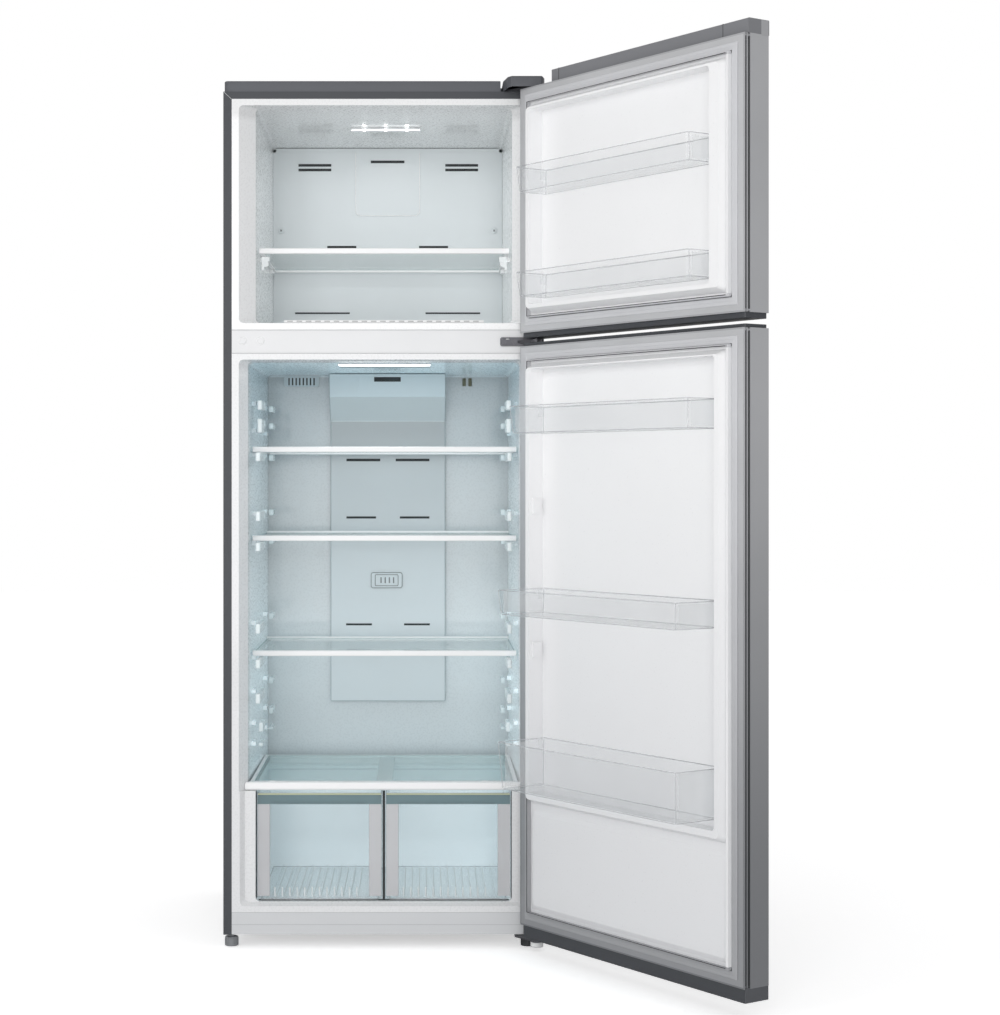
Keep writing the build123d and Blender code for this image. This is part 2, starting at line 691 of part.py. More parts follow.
def crisper_drawer(name, inner, outer):
    """An open tub between two x values, with ribs on its floor and a finger gap over its front."""
    low = fridge_bottom + 2.0
    rear = crisper_depth - 6.0
    with BuildPart() as drawer:
        block((inner, outer), (drawer_front, rear), (low, drawer_top))
        fillet(drawer.edges().filter_by(Axis.Z), 5)
        fillet(drawer.faces().sort_by(Axis.Z)[0].edges().filter_by(Axis.Y), cavity_radius - 1)
        block((inner + drawer_wall, outer - drawer_wall), (drawer_front + drawer_wall, rear - drawer_wall),
              (low + drawer_wall, drawer_top + 1), Mode.SUBTRACT)
        block((inner + 26, outer - 26), (drawer_front - 1, drawer_front + drawer_wall + 1),
              (drawer_top - grip_height, drawer_top + 1), Mode.SUBTRACT)
        count = 7
        for step in range(count):
            x = inner + (outer - inner) * (step + 1) / (count + 1)
            block((x - 1.5, x + 1.5), (drawer_front + 12, rear - 12),
                  (low + drawer_wall - 0.5, low + drawer_wall + 5))
    write(drawer.part, name)


crisper_drawer("crisper_drawer_left", -crisper_half + slide_gap, -drawer_split / 2)
crisper_drawer("crisper_drawer_right", drawer_split / 2, crisper_half - slide_gap)


# ================================================================ doors, built shut and then swung open
def across(start, end):
    """The x span of a door piece, from distances measured from the hinge edge."""
    return (half - end, half - start)


def ring(low, high, side_inset, end_inset, width, y):
    """A flat rectangular ring set in from the door's edges."""
    block((side_inset - half, half - side_inset), y, (low + end_inset, high - end_inset))
    block((side_inset + width - half, half - side_inset - width), (y[0] - 1, y[1] + 1),
          (low + end_inset + width, high - end_inset - width), Mode.SUBTRACT)


liner_inset_side = frame_side + gasket_width
liner_inset_end = frame_end + gasket_width


def door_skin(name, low, high):
    """A steel pan with a narrower grooved edge, turned in to a flat frame that carries the gasket."""
    inner_edge = door_face - edge_depth
    pan = half - sheet
    with BuildPart() as skin:
        block((-half, half), (door_outer, inner_edge), (low, high))
        block((edge_inset - half, half - edge_inset), (inner_edge, door_face),
              (low + edge_inset, high - edge_inset))
        block((-half, half), (door_face - 1.5, door_face), (low, high))
        block((-half + 0.4, half - 0.4), (door_face - 8, door_face - 5.5), (low + 0.4, high - 0.4))
        block((sheet + edge_inset - half, pan - edge_inset), (inner_edge - 1, door_face - sheet),
              (low + sheet + edge_inset, high - sheet - edge_inset), Mode.SUBTRACT)
        block((-pan, pan), (door_outer + sheet, inner_edge - sheet), (low + sheet, high - sheet),
              Mode.SUBTRACT)
        block((sheet + edge_inset - half, pan - edge_inset), (inner_edge - sheet - 1, inner_edge + 1),
              (low + sheet + edge_inset, high - sheet - edge_inset), Mode.SUBTRACT)
        block((liner_inset_side - half, half - liner_inset_side), (door_face - 4, door_face + 1),
              (low + liner_inset_end, high - liner_inset_end), Mode.SUBTRACT)
        outer_edges = skin.edges().filter_by(Axis.Z).group_by(Axis.Y)[0]
        fillet(outer_edges, 4)
        rod(pivot_x, pivot_y, (low - 1, low + 12), pin_radius + 2, Mode.SUBTRACT)
        rod(pivot_x, pivot_y, (high - 12, high + 1), pin_radius + 2, Mode.SUBTRACT)
    write(swing(skin.part), f"{name}_skin")


def raised(x, z, height, slope, mode=Mode.ADD):
    """A raised frustum on the door's inner face, its top smaller by slope all round."""
    outlines = []
    for rise, shrink, radius in ((0.0, 0.0, 12), (height, 2 * slope, 10)):
        with BuildSketch(Plane.XZ.offset(-door_face - rise)) as outline:
            with Locations((middle(x), middle(z))):
                RectangleRounded(x[1] - x[0] - shrink, z[1] - z[0] - shrink, radius)
        outlines.append(outline.sketch)
    loft(outlines, ruled=True, mode=mode)


dyke_base = liner_inset_side + 4.0
dyke_slope = 10.0


def door_liner(name, low, high, dyke, recess, flat, lugs):
    """The vacuum-formed inner panel: a raised dyke round a recess, and a flat panel below it if given."""
    x_base = across(dyke_base, cabinet_width - dyke_base)
    plate_z = (low + liner_inset_end + fit_gap, high - liner_inset_end - fit_gap)
    plate_x = across(liner_inset_side + fit_gap, cabinet_width - liner_inset_side - fit_gap)
    with BuildPart() as panel:
        block(plate_x, (door_face - liner_wall - 1.5, door_face), plate_z)
        raised(x_base, dyke, dyke_height, dyke_slope)
        if flat:
            raised(x_base, flat, 3.0, 9.0)
        start, end, recess_low, recess_high = recess
        block(across(start - liner_wall, end + liner_wall),
              (door_face - recess_depth - liner_wall, door_face),
              (recess_low - liner_wall, recess_high + liner_wall))
        block(across(start, end), (door_face - recess_depth, door_face + 2 * dyke_height),
              (recess_low, recess_high), Mode.SUBTRACT)
        rib = [e for e in panel.edges().filter_by(Axis.Y) if e.length > dyke_height]
        fillet(rib, 8)
        for lug in lugs:
            for near, far in ((start - 1, start + 5), (end - 5, end + 1)):
                block(across(near, far), (door_face - 8, door_face + 14), (lug - 16, lug + 16))
    write(swing(panel.part), f"{name}_liner")


def door_foam(name, low, high, recess):
    """The foam that fills a door between its skin and its inner liner."""
    pan = half - sheet
    start, end, recess_low, recess_high = recess
    grown = (start - liner_wall, end + liner_wall, recess_low - liner_wall, recess_high + liner_wall)
    with BuildPart() as foam:
        block((-pan + 0.2, pan - 0.2), (door_outer + sheet, door_face - edge_depth - sheet),
              (low + sheet, high - sheet))
        block((sheet + edge_inset - half, pan - edge_inset), (door_face - edge_depth - sheet, door_face - 4),
              (low + sheet + edge_inset, high - sheet - edge_inset))
        x = across(grown[0], grown[1])
        block(x, (door_face - recess_depth - liner_wall, door_face), (grown[2], grown[3]), Mode.SUBTRACT)
        for z in ((low, low + 16), (high - 18, high)):
            rod(pivot_x, pivot_y, z, pin_radius + 3, Mode.SUBTRACT)
        for x in (-half, half):
            for y in (door_outer,):
                with Locations((x, y, middle((low, high)))):
                    Cylinder(9, high - low, mode=Mode.SUBTRACT)
    write(swing(foam.part), f"{name}_foam")


def door_gasket(name, low, high):
    with BuildPart() as gasket:
        ring(low, high, frame_side, frame_end, gasket_width, (door_face, door_face + 4))
        ring_half = frame_side + 3
        block((ring_half - half, half - ring_half), (door_face + 4, door_face + gasket_height),
              (low + frame_end + 3, high - frame_end - 3))
        block((ring_half + 9 - half, half - ring_half - 9), (door_face - 1, door_face + 20),
              (low + frame_end + 12, high - frame_end - 12), Mode.SUBTRACT)
        block((frame_side + gasket_width - half, half - frame_side - gasket_width),
              (door_face - 1, door_face + 4),
              (low + frame_end + gasket_width, high - frame_end - gasket_width), Mode.SUBTRACT)
    write(swing(gasket.part), f"{name}_gasket")


freezer_recess = (56.0, cabinet_width - 73.0, freezer_door_low + 56, freezer_door_high - 52)
freezer_dyke = (freezer_door_low + 38, freezer_door_high - 38)
fridge_recess = (58.0, cabinet_width - 59.0, ledge_high, fridge_door_high - 50)
fridge_dyke = (ledge_low, fridge_door_high - 38)
fridge_flat = (fridge_door_low + 40, ledge_low - 16)
spare_bin_lugs = (944.0, 644.0)
doors = (
    ("freezer_door", freezer_door_low, freezer_door_high, freezer_dyke, freezer_recess, None, ()),
    ("fridge_door", fridge_door_low, fridge_door_high, fridge_dyke, fridge_recess, fridge_flat,
     spare_bin_lugs),
)
for name, low, high, dyke, recess, flat, lugs in doors:
    door_skin(name, low, high)
    door_liner(name, low, high, dyke, recess, flat, lugs)
    door_foam(name, low, high, recess)
    door_gasket(name, low, high)

hinge_base = 3.2
with BuildPart() as freezer_door_trim:
    block(across(2, cabinet_width - 2), (door_outer + 2, door_face - trim_set_back),
          (freezer_door_high, freezer_door_high + hinge_base))
    block(across(trim_start, cabinet_width), (door_outer + 1, door_face - trim_set_back),
          (freezer_door_high, freezer_door_high + trim_height))
    fillet(freezer_door_trim.edges().filter_by(Axis.X).group_by(Axis.Z)[-1], 2)
    rod(pivot_x, pivot_y, (freezer_door_high - 1, freezer_door_high + 6), pin_radius + pin_clearance,
        Mode.SUBTRACT)
write(swing(freezer_door_trim.part), "freezer_door_trim")


def end_cap(name, z, pin_z):
    """A plastic bar along a door's end, with the bush for its hinge pin."""
    with BuildPart() as cap:
        block(across(3, cabinet_width - 3), (door_outer + 3, door_face - 4), z)
        fillet(cap.edges().filter_by(Axis.Z), 4)
        rod(pivot_x, pivot_y, pin_z, pin_radius + pin_clearance, Mode.SUBTRACT)
    write(swing(cap.part), name)


end_cap("freezer_door_cap", (freezer_door_low - freezer_bottom_cap, freezer_door_low),
        (freezer_door_low - 20, freezer_door_low + 2))
end_cap("fridge_door_top_cap", (fridge_door_high, fridge_door_high + small_cap),
        (fridge_door_high - 1, fridge_door_high + 10))
end_cap("fridge_door_bottom_cap", (fridge_door_low - fridge_bottom_cap, fridge_door_low),
        (fridge_door_low - 30, fridge_door_low + 2))


def door_bin(name, start, end, reach, low, high):
    """A clear bin hung in a door's recess: an open tub whose mouth is wider than its floor."""
    back = door_face - recess_depth + fit_gap
    front = door_face + reach
    with BuildPart() as tub:
        block(across(start, end), (back, front), (low, high))
        fillet(tub.edges().filter_by(Axis.Z).group_by(Axis.Y)[-1], 8)
        block(across(start + bin_wall, end - bin_wall), (back + bin_wall, front - bin_wall),
              (low + bin_wall, high + 1), Mode.SUBTRACT)
    write(swing(tub.part), name)


freezer_bin_start = half - freezer_half + 3.5
fridge_bin_start = half - fridge_half + 11.5
freezer_bin_end = cabinet_width - 79.0
fridge_bin_end = cabinet_width - 69.0
bins = (
    ("freezer_bin_upper", freezer_bin_start, freezer_bin_end, 68.0, 1594.0, 1647.0),
    ("freezer_bin_lower", freezer_bin_start, freezer_bin_end, 68.0, 1378.0, 1429.0),
    ("fridge_bin_upper", fridge_bin_start, fridge_bin_end, 80.0, 1095.0, 1152.0),
    ("fridge_bin_middle", fridge_bin_start, fridge_bin_end, 110.0, 721.0, 773.0),
    ("fridge_bin_lower", fridge_bin_start, fridge_bin_end, 110.0, ledge_low + 40, ledge_high + 115),
)
for name, start, end, reach, low, high in bins:
    door_bin(name, start, end, reach, low, high)
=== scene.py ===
import math

import bmesh
import bpy
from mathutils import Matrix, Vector


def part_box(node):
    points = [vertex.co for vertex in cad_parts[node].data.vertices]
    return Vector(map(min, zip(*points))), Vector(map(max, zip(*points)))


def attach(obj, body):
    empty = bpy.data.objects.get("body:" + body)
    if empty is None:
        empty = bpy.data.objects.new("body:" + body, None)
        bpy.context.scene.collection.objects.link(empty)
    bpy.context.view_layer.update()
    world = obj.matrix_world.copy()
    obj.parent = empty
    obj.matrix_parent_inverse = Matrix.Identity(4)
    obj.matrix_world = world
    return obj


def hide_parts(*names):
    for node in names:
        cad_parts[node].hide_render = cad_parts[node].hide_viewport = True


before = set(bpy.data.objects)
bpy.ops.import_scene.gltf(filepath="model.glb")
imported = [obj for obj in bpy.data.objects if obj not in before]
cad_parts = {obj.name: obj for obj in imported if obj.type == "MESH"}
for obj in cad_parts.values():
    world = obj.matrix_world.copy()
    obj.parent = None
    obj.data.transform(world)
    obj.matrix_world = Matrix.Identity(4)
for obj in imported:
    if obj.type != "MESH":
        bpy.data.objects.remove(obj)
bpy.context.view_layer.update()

MM = 0.001
# half the cabinet's width, and a door's hinge axis, gap to the cabinet and angle at rest
HALF = 342.5
PIVOT = (324.3, -41.0)
DOOR_GAP = 12.0
SWING = math.radians(124.4)
CABINET = "cabinet"
SHELVES = ("freezer_shelf", "upper_shelf", "middle_shelf", "lower_shelf")
# how far a piece stands proud of the face that it covers
PROUD = 0.2


# ================================================================ places
def at(x, y, z):
    """A point of the cabinet, given in millimetres."""
    return Vector((x, y, z)) * MM


def on_door(s, d, z):
    """A point of an open door: s from its hinge edge, d in from its inner face."""
    x = HALF - s - PIVOT[0]
    y = d - DOOR_GAP - PIVOT[1]
    turned_x = x * math.cos(SWING) - y * math.sin(SWING)
    turned_y = x * math.sin(SWING) + y * math.cos(SWING)
    return at(PIVOT[0] + turned_x, PIVOT[1] + turned_y, z)


def corners(node):
    """A node's lowest and highest corners in millimetres."""
    low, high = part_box(node)
    return low / MM, high / MM


# ================================================================ materials
NO_STRETCH = (1.0, 1.0, 1.0)
GRAIN_DEPTH = 0.0003
MOTTLE_SCALE, HAZE_SCALE, BROAD_DETAIL = 5.0, 7.0, 2.0
GLOSS_SPREAD = 0.08
SPECK_DARKEN = 0.6
WEAR_LIGHTEN = 1.6
WEAR_POINTINESS = (0.53, 0.6)
SCUFF_SCALE, SCUFF_DETAIL, SCUFF_ROUGH, SCUFF_BUMP = 160.0, 6.0, 0.7, 0.05
MILKY_ROUGH = 0.35
EDGE_ON_BLEND = 0.3


def link(tree, source, target):
    """Joins an output to an input."""
    tree.links.new(source, target)


def noise(tree, vector, scale, detail=4.0, rough=0.55):
    """A noise value over a set of coordinates."""
    texture = tree.nodes.new("ShaderNodeTexNoise")
    texture.inputs["Scale"].default_value = scale
    texture.inputs["Detail"].default_value = detail
    texture.inputs["Roughness"].default_value = rough
    link(tree, vector, texture.inputs["Vector"])
    return texture.outputs["Fac"]


def mapped(tree, value, low, high, start=0.0, end=1.0):
    """A value from start..end carried over to low..high."""
    spread = tree.nodes.new("ShaderNodeMapRange")
    spread.interpolation_type = "SMOOTHSTEP"
    spread.inputs["From Min"].default_value = start
    spread.inputs["From Max"].default_value = end
    spread.inputs["To Min"].default_value = low
    spread.inputs["To Max"].default_value = high
    link(tree, value, spread.inputs["Value"])
    return spread.outputs["Result"]


def blended(tree, share, first, second, mode="MIX"):
    """A colour between two colours or sockets."""
    mix = tree.nodes.new("ShaderNodeMix")
    mix.data_type = "RGBA"
    mix.blend_type = mode
    mix.clamp_factor = True
    link(tree, share, mix.inputs["Factor"])
    for socket, colour in ((mix.inputs[6], first), (mix.inputs[7], second)):
        if isinstance(colour, tuple):
            socket.default_value = (*colour, 1.0)
        else:
            link(tree, colour, socket)
    return mix.outputs[2]


def scaled(colour, factor):
    """A colour made lighter or darker."""
    return tuple(min(1.0, c * factor) for c in colour)


def stretched(tree, stretch, turn):
    """Object coordinates, turned and then stretched."""
    coords = tree.nodes.new("ShaderNodeTexCoord")
    mapping = tree.nodes.new("ShaderNodeMapping")
    mapping.vector_type = "TEXTURE"
    mapping.inputs["Rotation"].default_value = (0.0, 0.0, turn)
    mapping.inputs["Scale"].default_value = tuple(1.0 / v for v in stretch)
    link(tree, coords.outputs["Object"], mapping.inputs["Vector"])
    return coords.outputs["Object"], mapping.outputs["Vector"]


def surface(name, colour, rough, metallic=0.0, *, grain, stretch=NO_STRETCH, turn=0.0, mottle=0.03,
            bump=0.1, depth=GRAIN_DEPTH, coat=0.0, coat_rough=0.15, shades=(), wear=0.0, glow=0.0):
    """An opaque material: mottling, fine grain, uneven gloss, relief, shading by place and worn edges."""
    material = bpy.data.materials.new(name)
    material.use_nodes = True
    tree = material.node_tree
    shader = tree.nodes["Principled BSDF"]
    plain, vector = stretched(tree, stretch, turn)
    fine = noise(tree, vector, grain)
    broad = noise(tree, plain, MOTTLE_SCALE, BROAD_DETAIL)
    tone = blended(tree, mapped(tree, broad, 0.0, 1.0, 0.3, 0.7), scaled(colour, 1 - mottle),
                   scaled(colour, 1 + mottle))
    for axis, start, end, other in shades:
        split = tree.nodes.new("ShaderNodeSeparateXYZ")
        link(tree, plain, split.inputs["Vector"])
        share = mapped(tree, split.outputs[axis], 0.0, 1.0, start, end)
        if isinstance(other, float):
            tone = blended(tree, share, tone, (other, other, other), "MULTIPLY")
        else:
            tone = blended(tree, share, tone, other)
    speck = mapped(tree, fine, 0.0, 1.2 * mottle, 0.35, 0.75)
    tone = blended(tree, speck, tone, scaled(colour, SPECK_DARKEN))
    if wear:
        geometry = tree.nodes.new("ShaderNodeNewGeometry")
        edge = mapped(tree, geometry.outputs["Pointiness"], 0.0, wear, *WEAR_POINTINESS)
        tone = blended(tree, edge, tone, scaled(colour, WEAR_LIGHTEN))
    link(tree, tone, shader.inputs["Base Color"])
    gloss = mapped(tree, fine, rough - GLOSS_SPREAD, rough + GLOSS_SPREAD, 0.3, 0.7)
    link(tree, gloss, shader.inputs["Roughness"])
    relief = tree.nodes.new("ShaderNodeBump")
    relief.inputs["Strength"].default_value = bump
    relief.inputs["Distance"].default_value = depth
    link(tree, fine, relief.inputs["Height"])
    link(tree, relief.outputs["Normal"], shader.inputs["Normal"])
    shader.inputs["Metallic"].default_value = metallic
    shader.inputs["Coat Weight"].default_value = coat
    shader.inputs["Coat Roughness"].default_value = coat_rough
    if glow:
        link(tree, tone, shader.inputs["Emission Color"])
        shader.inputs["Emission Strength"].default_value = glow
    return material


def see_through(name, tint, body, haze, edge, gloss=0.08, shine=0.35):
    """Clear plastic or glass: tinted in the middle, milky where it is seen edge on, with faint scuffs."""
    material = bpy.data.materials.new(name)
    material.use_nodes = True
    tree = material.node_tree
    tree.nodes.remove(tree.nodes["Principled BSDF"])
    plain, vector = stretched(tree, NO_STRETCH, 0.0)
    scuffs = noise(tree, vector, SCUFF_SCALE, SCUFF_DETAIL, SCUFF_ROUGH)
    broad = noise(tree, plain, HAZE_SCALE, BROAD_DETAIL)
    clear = tree.nodes.new("ShaderNodeBsdfTransparent")
    link(tree, blended(tree, broad, tint, scaled(tint, 0.97)), clear.inputs["Color"])
    milky = tree.nodes.new("ShaderNodeBsdfPrincipled")
    link(tree, blended(tree, broad, body, scaled(body, 0.95)), milky.inputs["Base Color"])
    milky.inputs["Roughness"].default_value = MILKY_ROUGH
    sheen = tree.nodes.new("ShaderNodeBsdfGlossy")
    link(tree, mapped(tree, scuffs, gloss, gloss + 0.12, 0.4, 0.7), sheen.inputs["Roughness"])
    relief = tree.nodes.new("ShaderNodeBump")
    relief.inputs["Strength"].default_value = SCUFF_BUMP
    relief.inputs["Distance"].default_value = GRAIN_DEPTH
    link(tree, scuffs, relief.inputs["Height"])
    link(tree, relief.outputs["Normal"], sheen.inputs["Normal"])
    facing = tree.nodes.new("ShaderNodeLayerWeight")
    facing.inputs["Blend"].default_value = EDGE_ON_BLEND
    first = tree.nodes.new("ShaderNodeMixShader")
    link(tree, mapped(tree, facing.outputs["Facing"], haze, edge, 0.35, 1.0), first.inputs[0])
    link(tree, clear.outputs[0], first.inputs[1])
    link(tree, milky.outputs[0], first.inputs[2])
    second = tree.nodes.new("ShaderNodeMixShader")
    link(tree, mapped(tree, facing.outputs["Facing"], 0.02, shine, 0.3, 1.0), second.inputs[0])
    link(tree, first.outputs[0], second.inputs[1])
    link(tree, sheen.outputs[0], second.inputs[2])
    path = tree.nodes.new("ShaderNodeLightPath")
    unseen = tree.nodes.new("ShaderNodeMath")
    unseen.operation = "MAXIMUM"
    link(tree, path.outputs["Is Shadow Ray"], unseen.inputs[0])
    link(tree, path.outputs["Is Diffuse Ray"], unseen.inputs[1])
    passing = tree.nodes.new("ShaderNodeBsdfTransparent")
    passing.inputs["Color"].default_value = (*[0.5 + 0.5 * c for c in tint], 1.0)
    third = tree.nodes.new("ShaderNodeMixShader")
    link(tree, unseen.outputs[0], third.inputs[0])
    link(tree, second.outputs[0], third.inputs[1])
    link(tree, passing.outputs[0], third.inputs[2])
    link(tree, third.outputs[0], tree.nodes["Material Output"].inputs["Surface"])
    return material


side_steel = surface("side_steel", (0.045, 0.048, 0.055), 0.5, 0.1, grain=900, bump=0.25, wear=0.3)
# door_steel: the shade along z, darker from 1.3 m down to 0.1 m, is painted shade for the studio light
# falling off lower down.
door_steel = surface("door_steel", (0.44, 0.445, 0.46), 0.42, 0.5, grain=60, stretch=(1.0, 12.0, 14.0),
                     turn=SWING, mottle=0.04, bump=0.12, shades=((2, 1.3, 0.1, (0.1, 0.105, 0.115)),),
                     wear=0.2)
# flange_steel: the same painted shade along z, darker towards the bottom.
flange_steel = surface("flange_steel", (0.62, 0.625, 0.64), 0.42, 0.5, grain=60, stretch=(1.0, 12.0, 14.0),
                       turn=SWING, mottle=0.04, bump=0.1, shades=((2, 1.3, 0.1, (0.34, 0.345, 0.36)),))
dark_plastic = surface("dark_plastic", (0.075, 0.079, 0.09), 0.45, grain=1200, bump=0.3, wear=0.4)
trim_plastic = surface("trim_plastic", (0.17, 0.173, 0.185), 0.42, grain=1200, bump=0.25, wear=0.3)
# door_liner: the shade along z, darker towards the bottom, is painted shade.
door_liner = surface("door_liner", (0.92, 0.922, 0.93), 0.35, grain=260, bump=0.04, mottle=0.008, coat=0.15,
                     shades=((2, 1.2, 0.15, (0.77, 0.775, 0.79)),))
# freezer_inside: the inside is lighter than its front rim (shade along y) to make up for the shade inside
# the freezer. The rim along the top is darkened by 0.85 (shade along z). Both are painted light and shade.
freezer_inside = surface("freezer_inside", (0.97, 0.985, 0.99), 0.3, grain=220, bump=0.01, mottle=0.006,
                         coat=0.5, coat_rough=0.07,
                         shades=((1, 0.12, 0.03, (0.87, 0.875, 0.88)), (2, 1.765, 1.785, 0.85)))
# fridge_inside: every shade here is painted light and shade. There is a darker teal towards the top, and the
# upper and lowest parts are darker. The side walls and ceiling are lightened, the crisper level is darkened,
# and the front rim is kept a plain pale grey.
fridge_inside = surface("fridge_inside", (0.75, 0.815, 0.84), 0.3, grain=220, bump=0.01, mottle=0.006,
                        coat=0.5, coat_rough=0.07,
                        shades=((2, 0.9, 1.25, (0.57, 0.67, 0.715)), (2, 0.55, 0.85, 0.75),
                                (2, 0.55, 0.45, 0.92), (1, 0.545, 0.53, 1.6), (2, 1.243, 1.25, 1.6),
                                (2, 0.36, 0.33, 0.84), (1, 0.1, 0.02, (0.77, 0.775, 0.785))))
freezer_panel = surface("freezer_panel", (0.755, 0.8, 0.815), 0.4, grain=700, bump=0.05, mottle=0.008,
                        coat=0.1)
# duct_plastic: the shades are painted light and shade, set for each face of the duct cover. It darkens above
# 0.65 m and again up to 1.13 m, is lighter on the slope, and takes another tone on the upper face.
duct_plastic = surface("duct_plastic", (0.73, 0.79, 0.815), 0.4, grain=700, bump=0.05, mottle=0.008,
                       coat=0.1, shades=((2, 0.65, 1.0, 0.77), (2, 1.0, 1.13, 0.77),
                                         (2, 1.1385, 1.1395, (0.75, 0.815, 0.84)),
                                         (2, 1.1945, 1.1955, (0.62, 0.715, 0.755))))
white_plastic = surface("white_plastic", (0.92, 0.925, 0.93), 0.35, grain=500, bump=0.06, mottle=0.008,
                        coat=0.1)
# rim_plastic is white_plastic made darker for the mullion cover: painted shade.
rim_plastic = surface("rim_plastic", (0.765, 0.77, 0.78), 0.35, grain=500, bump=0.06, mottle=0.008, coat=0.1)
# kick_plastic: a greyed white for the kick panel, made darker as painted shade low at the front.
kick_plastic = surface("kick_plastic", (0.64, 0.65, 0.665), 0.4, grain=500, bump=0.12, mottle=0.01, coat=0.1)
# gasket_rubber: the shade along z, darker towards the bottom, is painted shade.
rubber = surface("gasket_rubber", (0.6, 0.605, 0.625), 0.5, grain=500, bump=0.15, mottle=0.02,
                 shades=((2, 1.3, 0.1, (0.36, 0.365, 0.38)),))
white_rubber = surface("white_rubber", (0.8, 0.805, 0.815), 0.5, grain=500, bump=0.12, mottle=0.015)
cap_plastic = surface("cap_plastic", (0.036, 0.039, 0.045), 0.48, grain=1200, bump=0.3, wear=0.4)
# gasket_shadow_dark is only used for the painted shadow line along the gasket bulb.
gasket_shadow_dark = surface("gasket_shadow_dark", (0.025, 0.026, 0.03), 0.6, grain=600, bump=0.3)
foam = surface("foam", (0.78, 0.66, 0.4), 0.9, grain=140, bump=0.9, depth=0.002, mottle=0.12)
lamp = surface("lamp_diffuser", (0.97, 0.985, 1.0), 0.4, grain=400, mottle=0.01, glow=1.8)
led = surface("led", (1.0, 1.0, 1.0), 0.3, grain=900, mottle=0.0, glow=14.0)
freezer_lamp = surface("freezer_lamp", (0.93, 0.95, 0.96), 0.4, grain=400, mottle=0.01)
hinge_steel = surface("hinge_steel", (0.09, 0.09, 0.1), 0.4, 0.5, grain=500, bump=0.2, wear=0.5)
screw_steel = surface("screw_steel", (0.45, 0.45, 0.46), 0.3, 0.9, grain=900, bump=0.1, wear=0.4)
galvanised = surface("galvanised", (0.5, 0.51, 0.52), 0.42, 0.75, grain=35, mottle=0.12, bump=0.1, wear=0.2)
black_paint = surface("black_paint", (0.02, 0.02, 0.022), 0.35, grain=700, bump=0.2, coat=0.3, wear=0.5)
copper = surface("copper", (0.62, 0.3, 0.17), 0.3, 0.95, grain=300, mottle=0.1, bump=0.1)
foot_grey = surface("foot_grey", (0.26, 0.27, 0.285), 0.5, grain=900, bump=0.3)
black_plastic = surface("black_plastic", (0.045, 0.047, 0.052), 0.5, grain=900, bump=0.3, wear=0.3)
pale_plastic = surface("pale_plastic", (0.55, 0.56, 0.56), 0.45, grain=900, bump=0.2)
rest_white = surface("rest_white", (0.76, 0.84, 0.86), 0.3, grain=300, bump=0.05, mottle=0.01, coat=0.4)
seam_grey = surface("seam_grey", (0.42, 0.43, 0.44), 0.5, grain=700, bump=0.1)
badge_grey = surface("badge_grey", (0.22, 0.235, 0.24), 0.5, grain=700, bump=0.1)
# duct_edge also colours the painted shadow lines along the duct cover's edges.
duct_edge = surface("duct_edge", (0.5, 0.57, 0.6), 0.5, grain=700, bump=0.1)
# A near-black used mostly as painted shadow in slots, gaps, grooves and recesses, and also for dark seams
# and stops.
shadow_and_seam_dark = surface("shadow_and_seam_dark", (0.03, 0.034, 0.036), 0.7, grain=500, bump=0.2)
olive = surface("olive", (0.16, 0.16, 0.1), 0.55, grain=700, bump=0.2)
seal_green = surface("seal_green", (0.5, 0.53, 0.34), 0.5, grain=700, bump=0.2)
teal_band = see_through("teal_band", (0.45, 0.58, 0.6), (0.2, 0.28, 0.3), 0.5, 0.85)
frosted = see_through("frosted", (0.9, 0.9, 0.905), (0.62, 0.61, 0.625), 0.6, 0.85)
rib_white = see_through("rib_white", (0.95, 0.97, 0.975), (0.93, 0.955, 0.96), 0.5, 0.8)
clear_plastic = see_through("clear_plastic", (0.994, 0.996, 0.997), (0.9, 0.92, 0.93), 0.0, 0.25, shine=0.16)
clear_panel = see_through("clear_panel", (0.985, 0.988, 0.99), (0.95, 0.955, 0.96), 0.14, 0.4, shine=0.2)
clear_edge = see_through("clear_edge", (0.86, 0.87, 0.88), (0.78, 0.79, 0.8), 0.3, 0.7)
glass = see_through("glass", (0.965, 0.985, 0.985), (0.86, 0.92, 0.93), 0.05, 0.35, gloss=0.03)
cover_glass = see_through("cover_glass", (0.9, 0.955, 0.955), (0.5, 0.66, 0.68), 0.06, 0.5, gloss=0.03)
glass_edge = see_through("glass_edge", (0.6, 0.78, 0.78), (0.35, 0.52, 0.54), 0.5, 0.85)


def paint(material, *names):
    for name in names:
        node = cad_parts[name]
        if not node.material_slots:
            node.data.materials.append(material)
        for place in node.material_slots:
            place.link = "OBJECT"
            place.material = material


paint(side_steel, "cabinet_shell")
paint(dark_plastic, "top_cover", "hinge_cover")
paint(cap_plastic, "freezer_door_cap", "fridge_door_top_cap", "fridge_door_bottom_cap")
paint(trim_plastic, "freezer_door_trim")
paint(galvanised, "back_panel", "base_plate", "evaporator_coil")
paint(foam, "insulation", "freezer_door_foam", "fridge_door_foam")
paint(freezer_inside, "freezer_liner")
paint(fridge_inside, "fridge_liner")
paint(door_liner, "freezer_door_liner", "fridge_door_liner")
paint(door_steel, "freezer_door_skin", "fridge_door_skin")
paint(rubber, "freezer_door_gasket", "fridge_door_gasket")
paint(kick_plastic, "kick_panel")
paint(rim_plastic, "mullion_cover")
paint(white_plastic, "return_grille", "evaporator_fan", "crisper_cover_frame",
      "humidity_slider_left", "humidity_slider_right")
paint(freezer_panel, "evaporator_cover")
paint(duct_plastic, "air_duct_cover", "filter_cover", "vent_grille")
paint(freezer_lamp, "freezer_light")
paint(duct_edge, "fridge_light")
paint(hinge_steel, "top_hinge", "middle_hinge", "bottom_hinge")
paint(black_paint, "compressor")
paint(black_plastic, "drain_pan", "power_gland", "roller_left", "roller_right", "foot_right")
paint(foot_grey, "foot_left")
paint(cover_glass, "crisper_cover_glass")
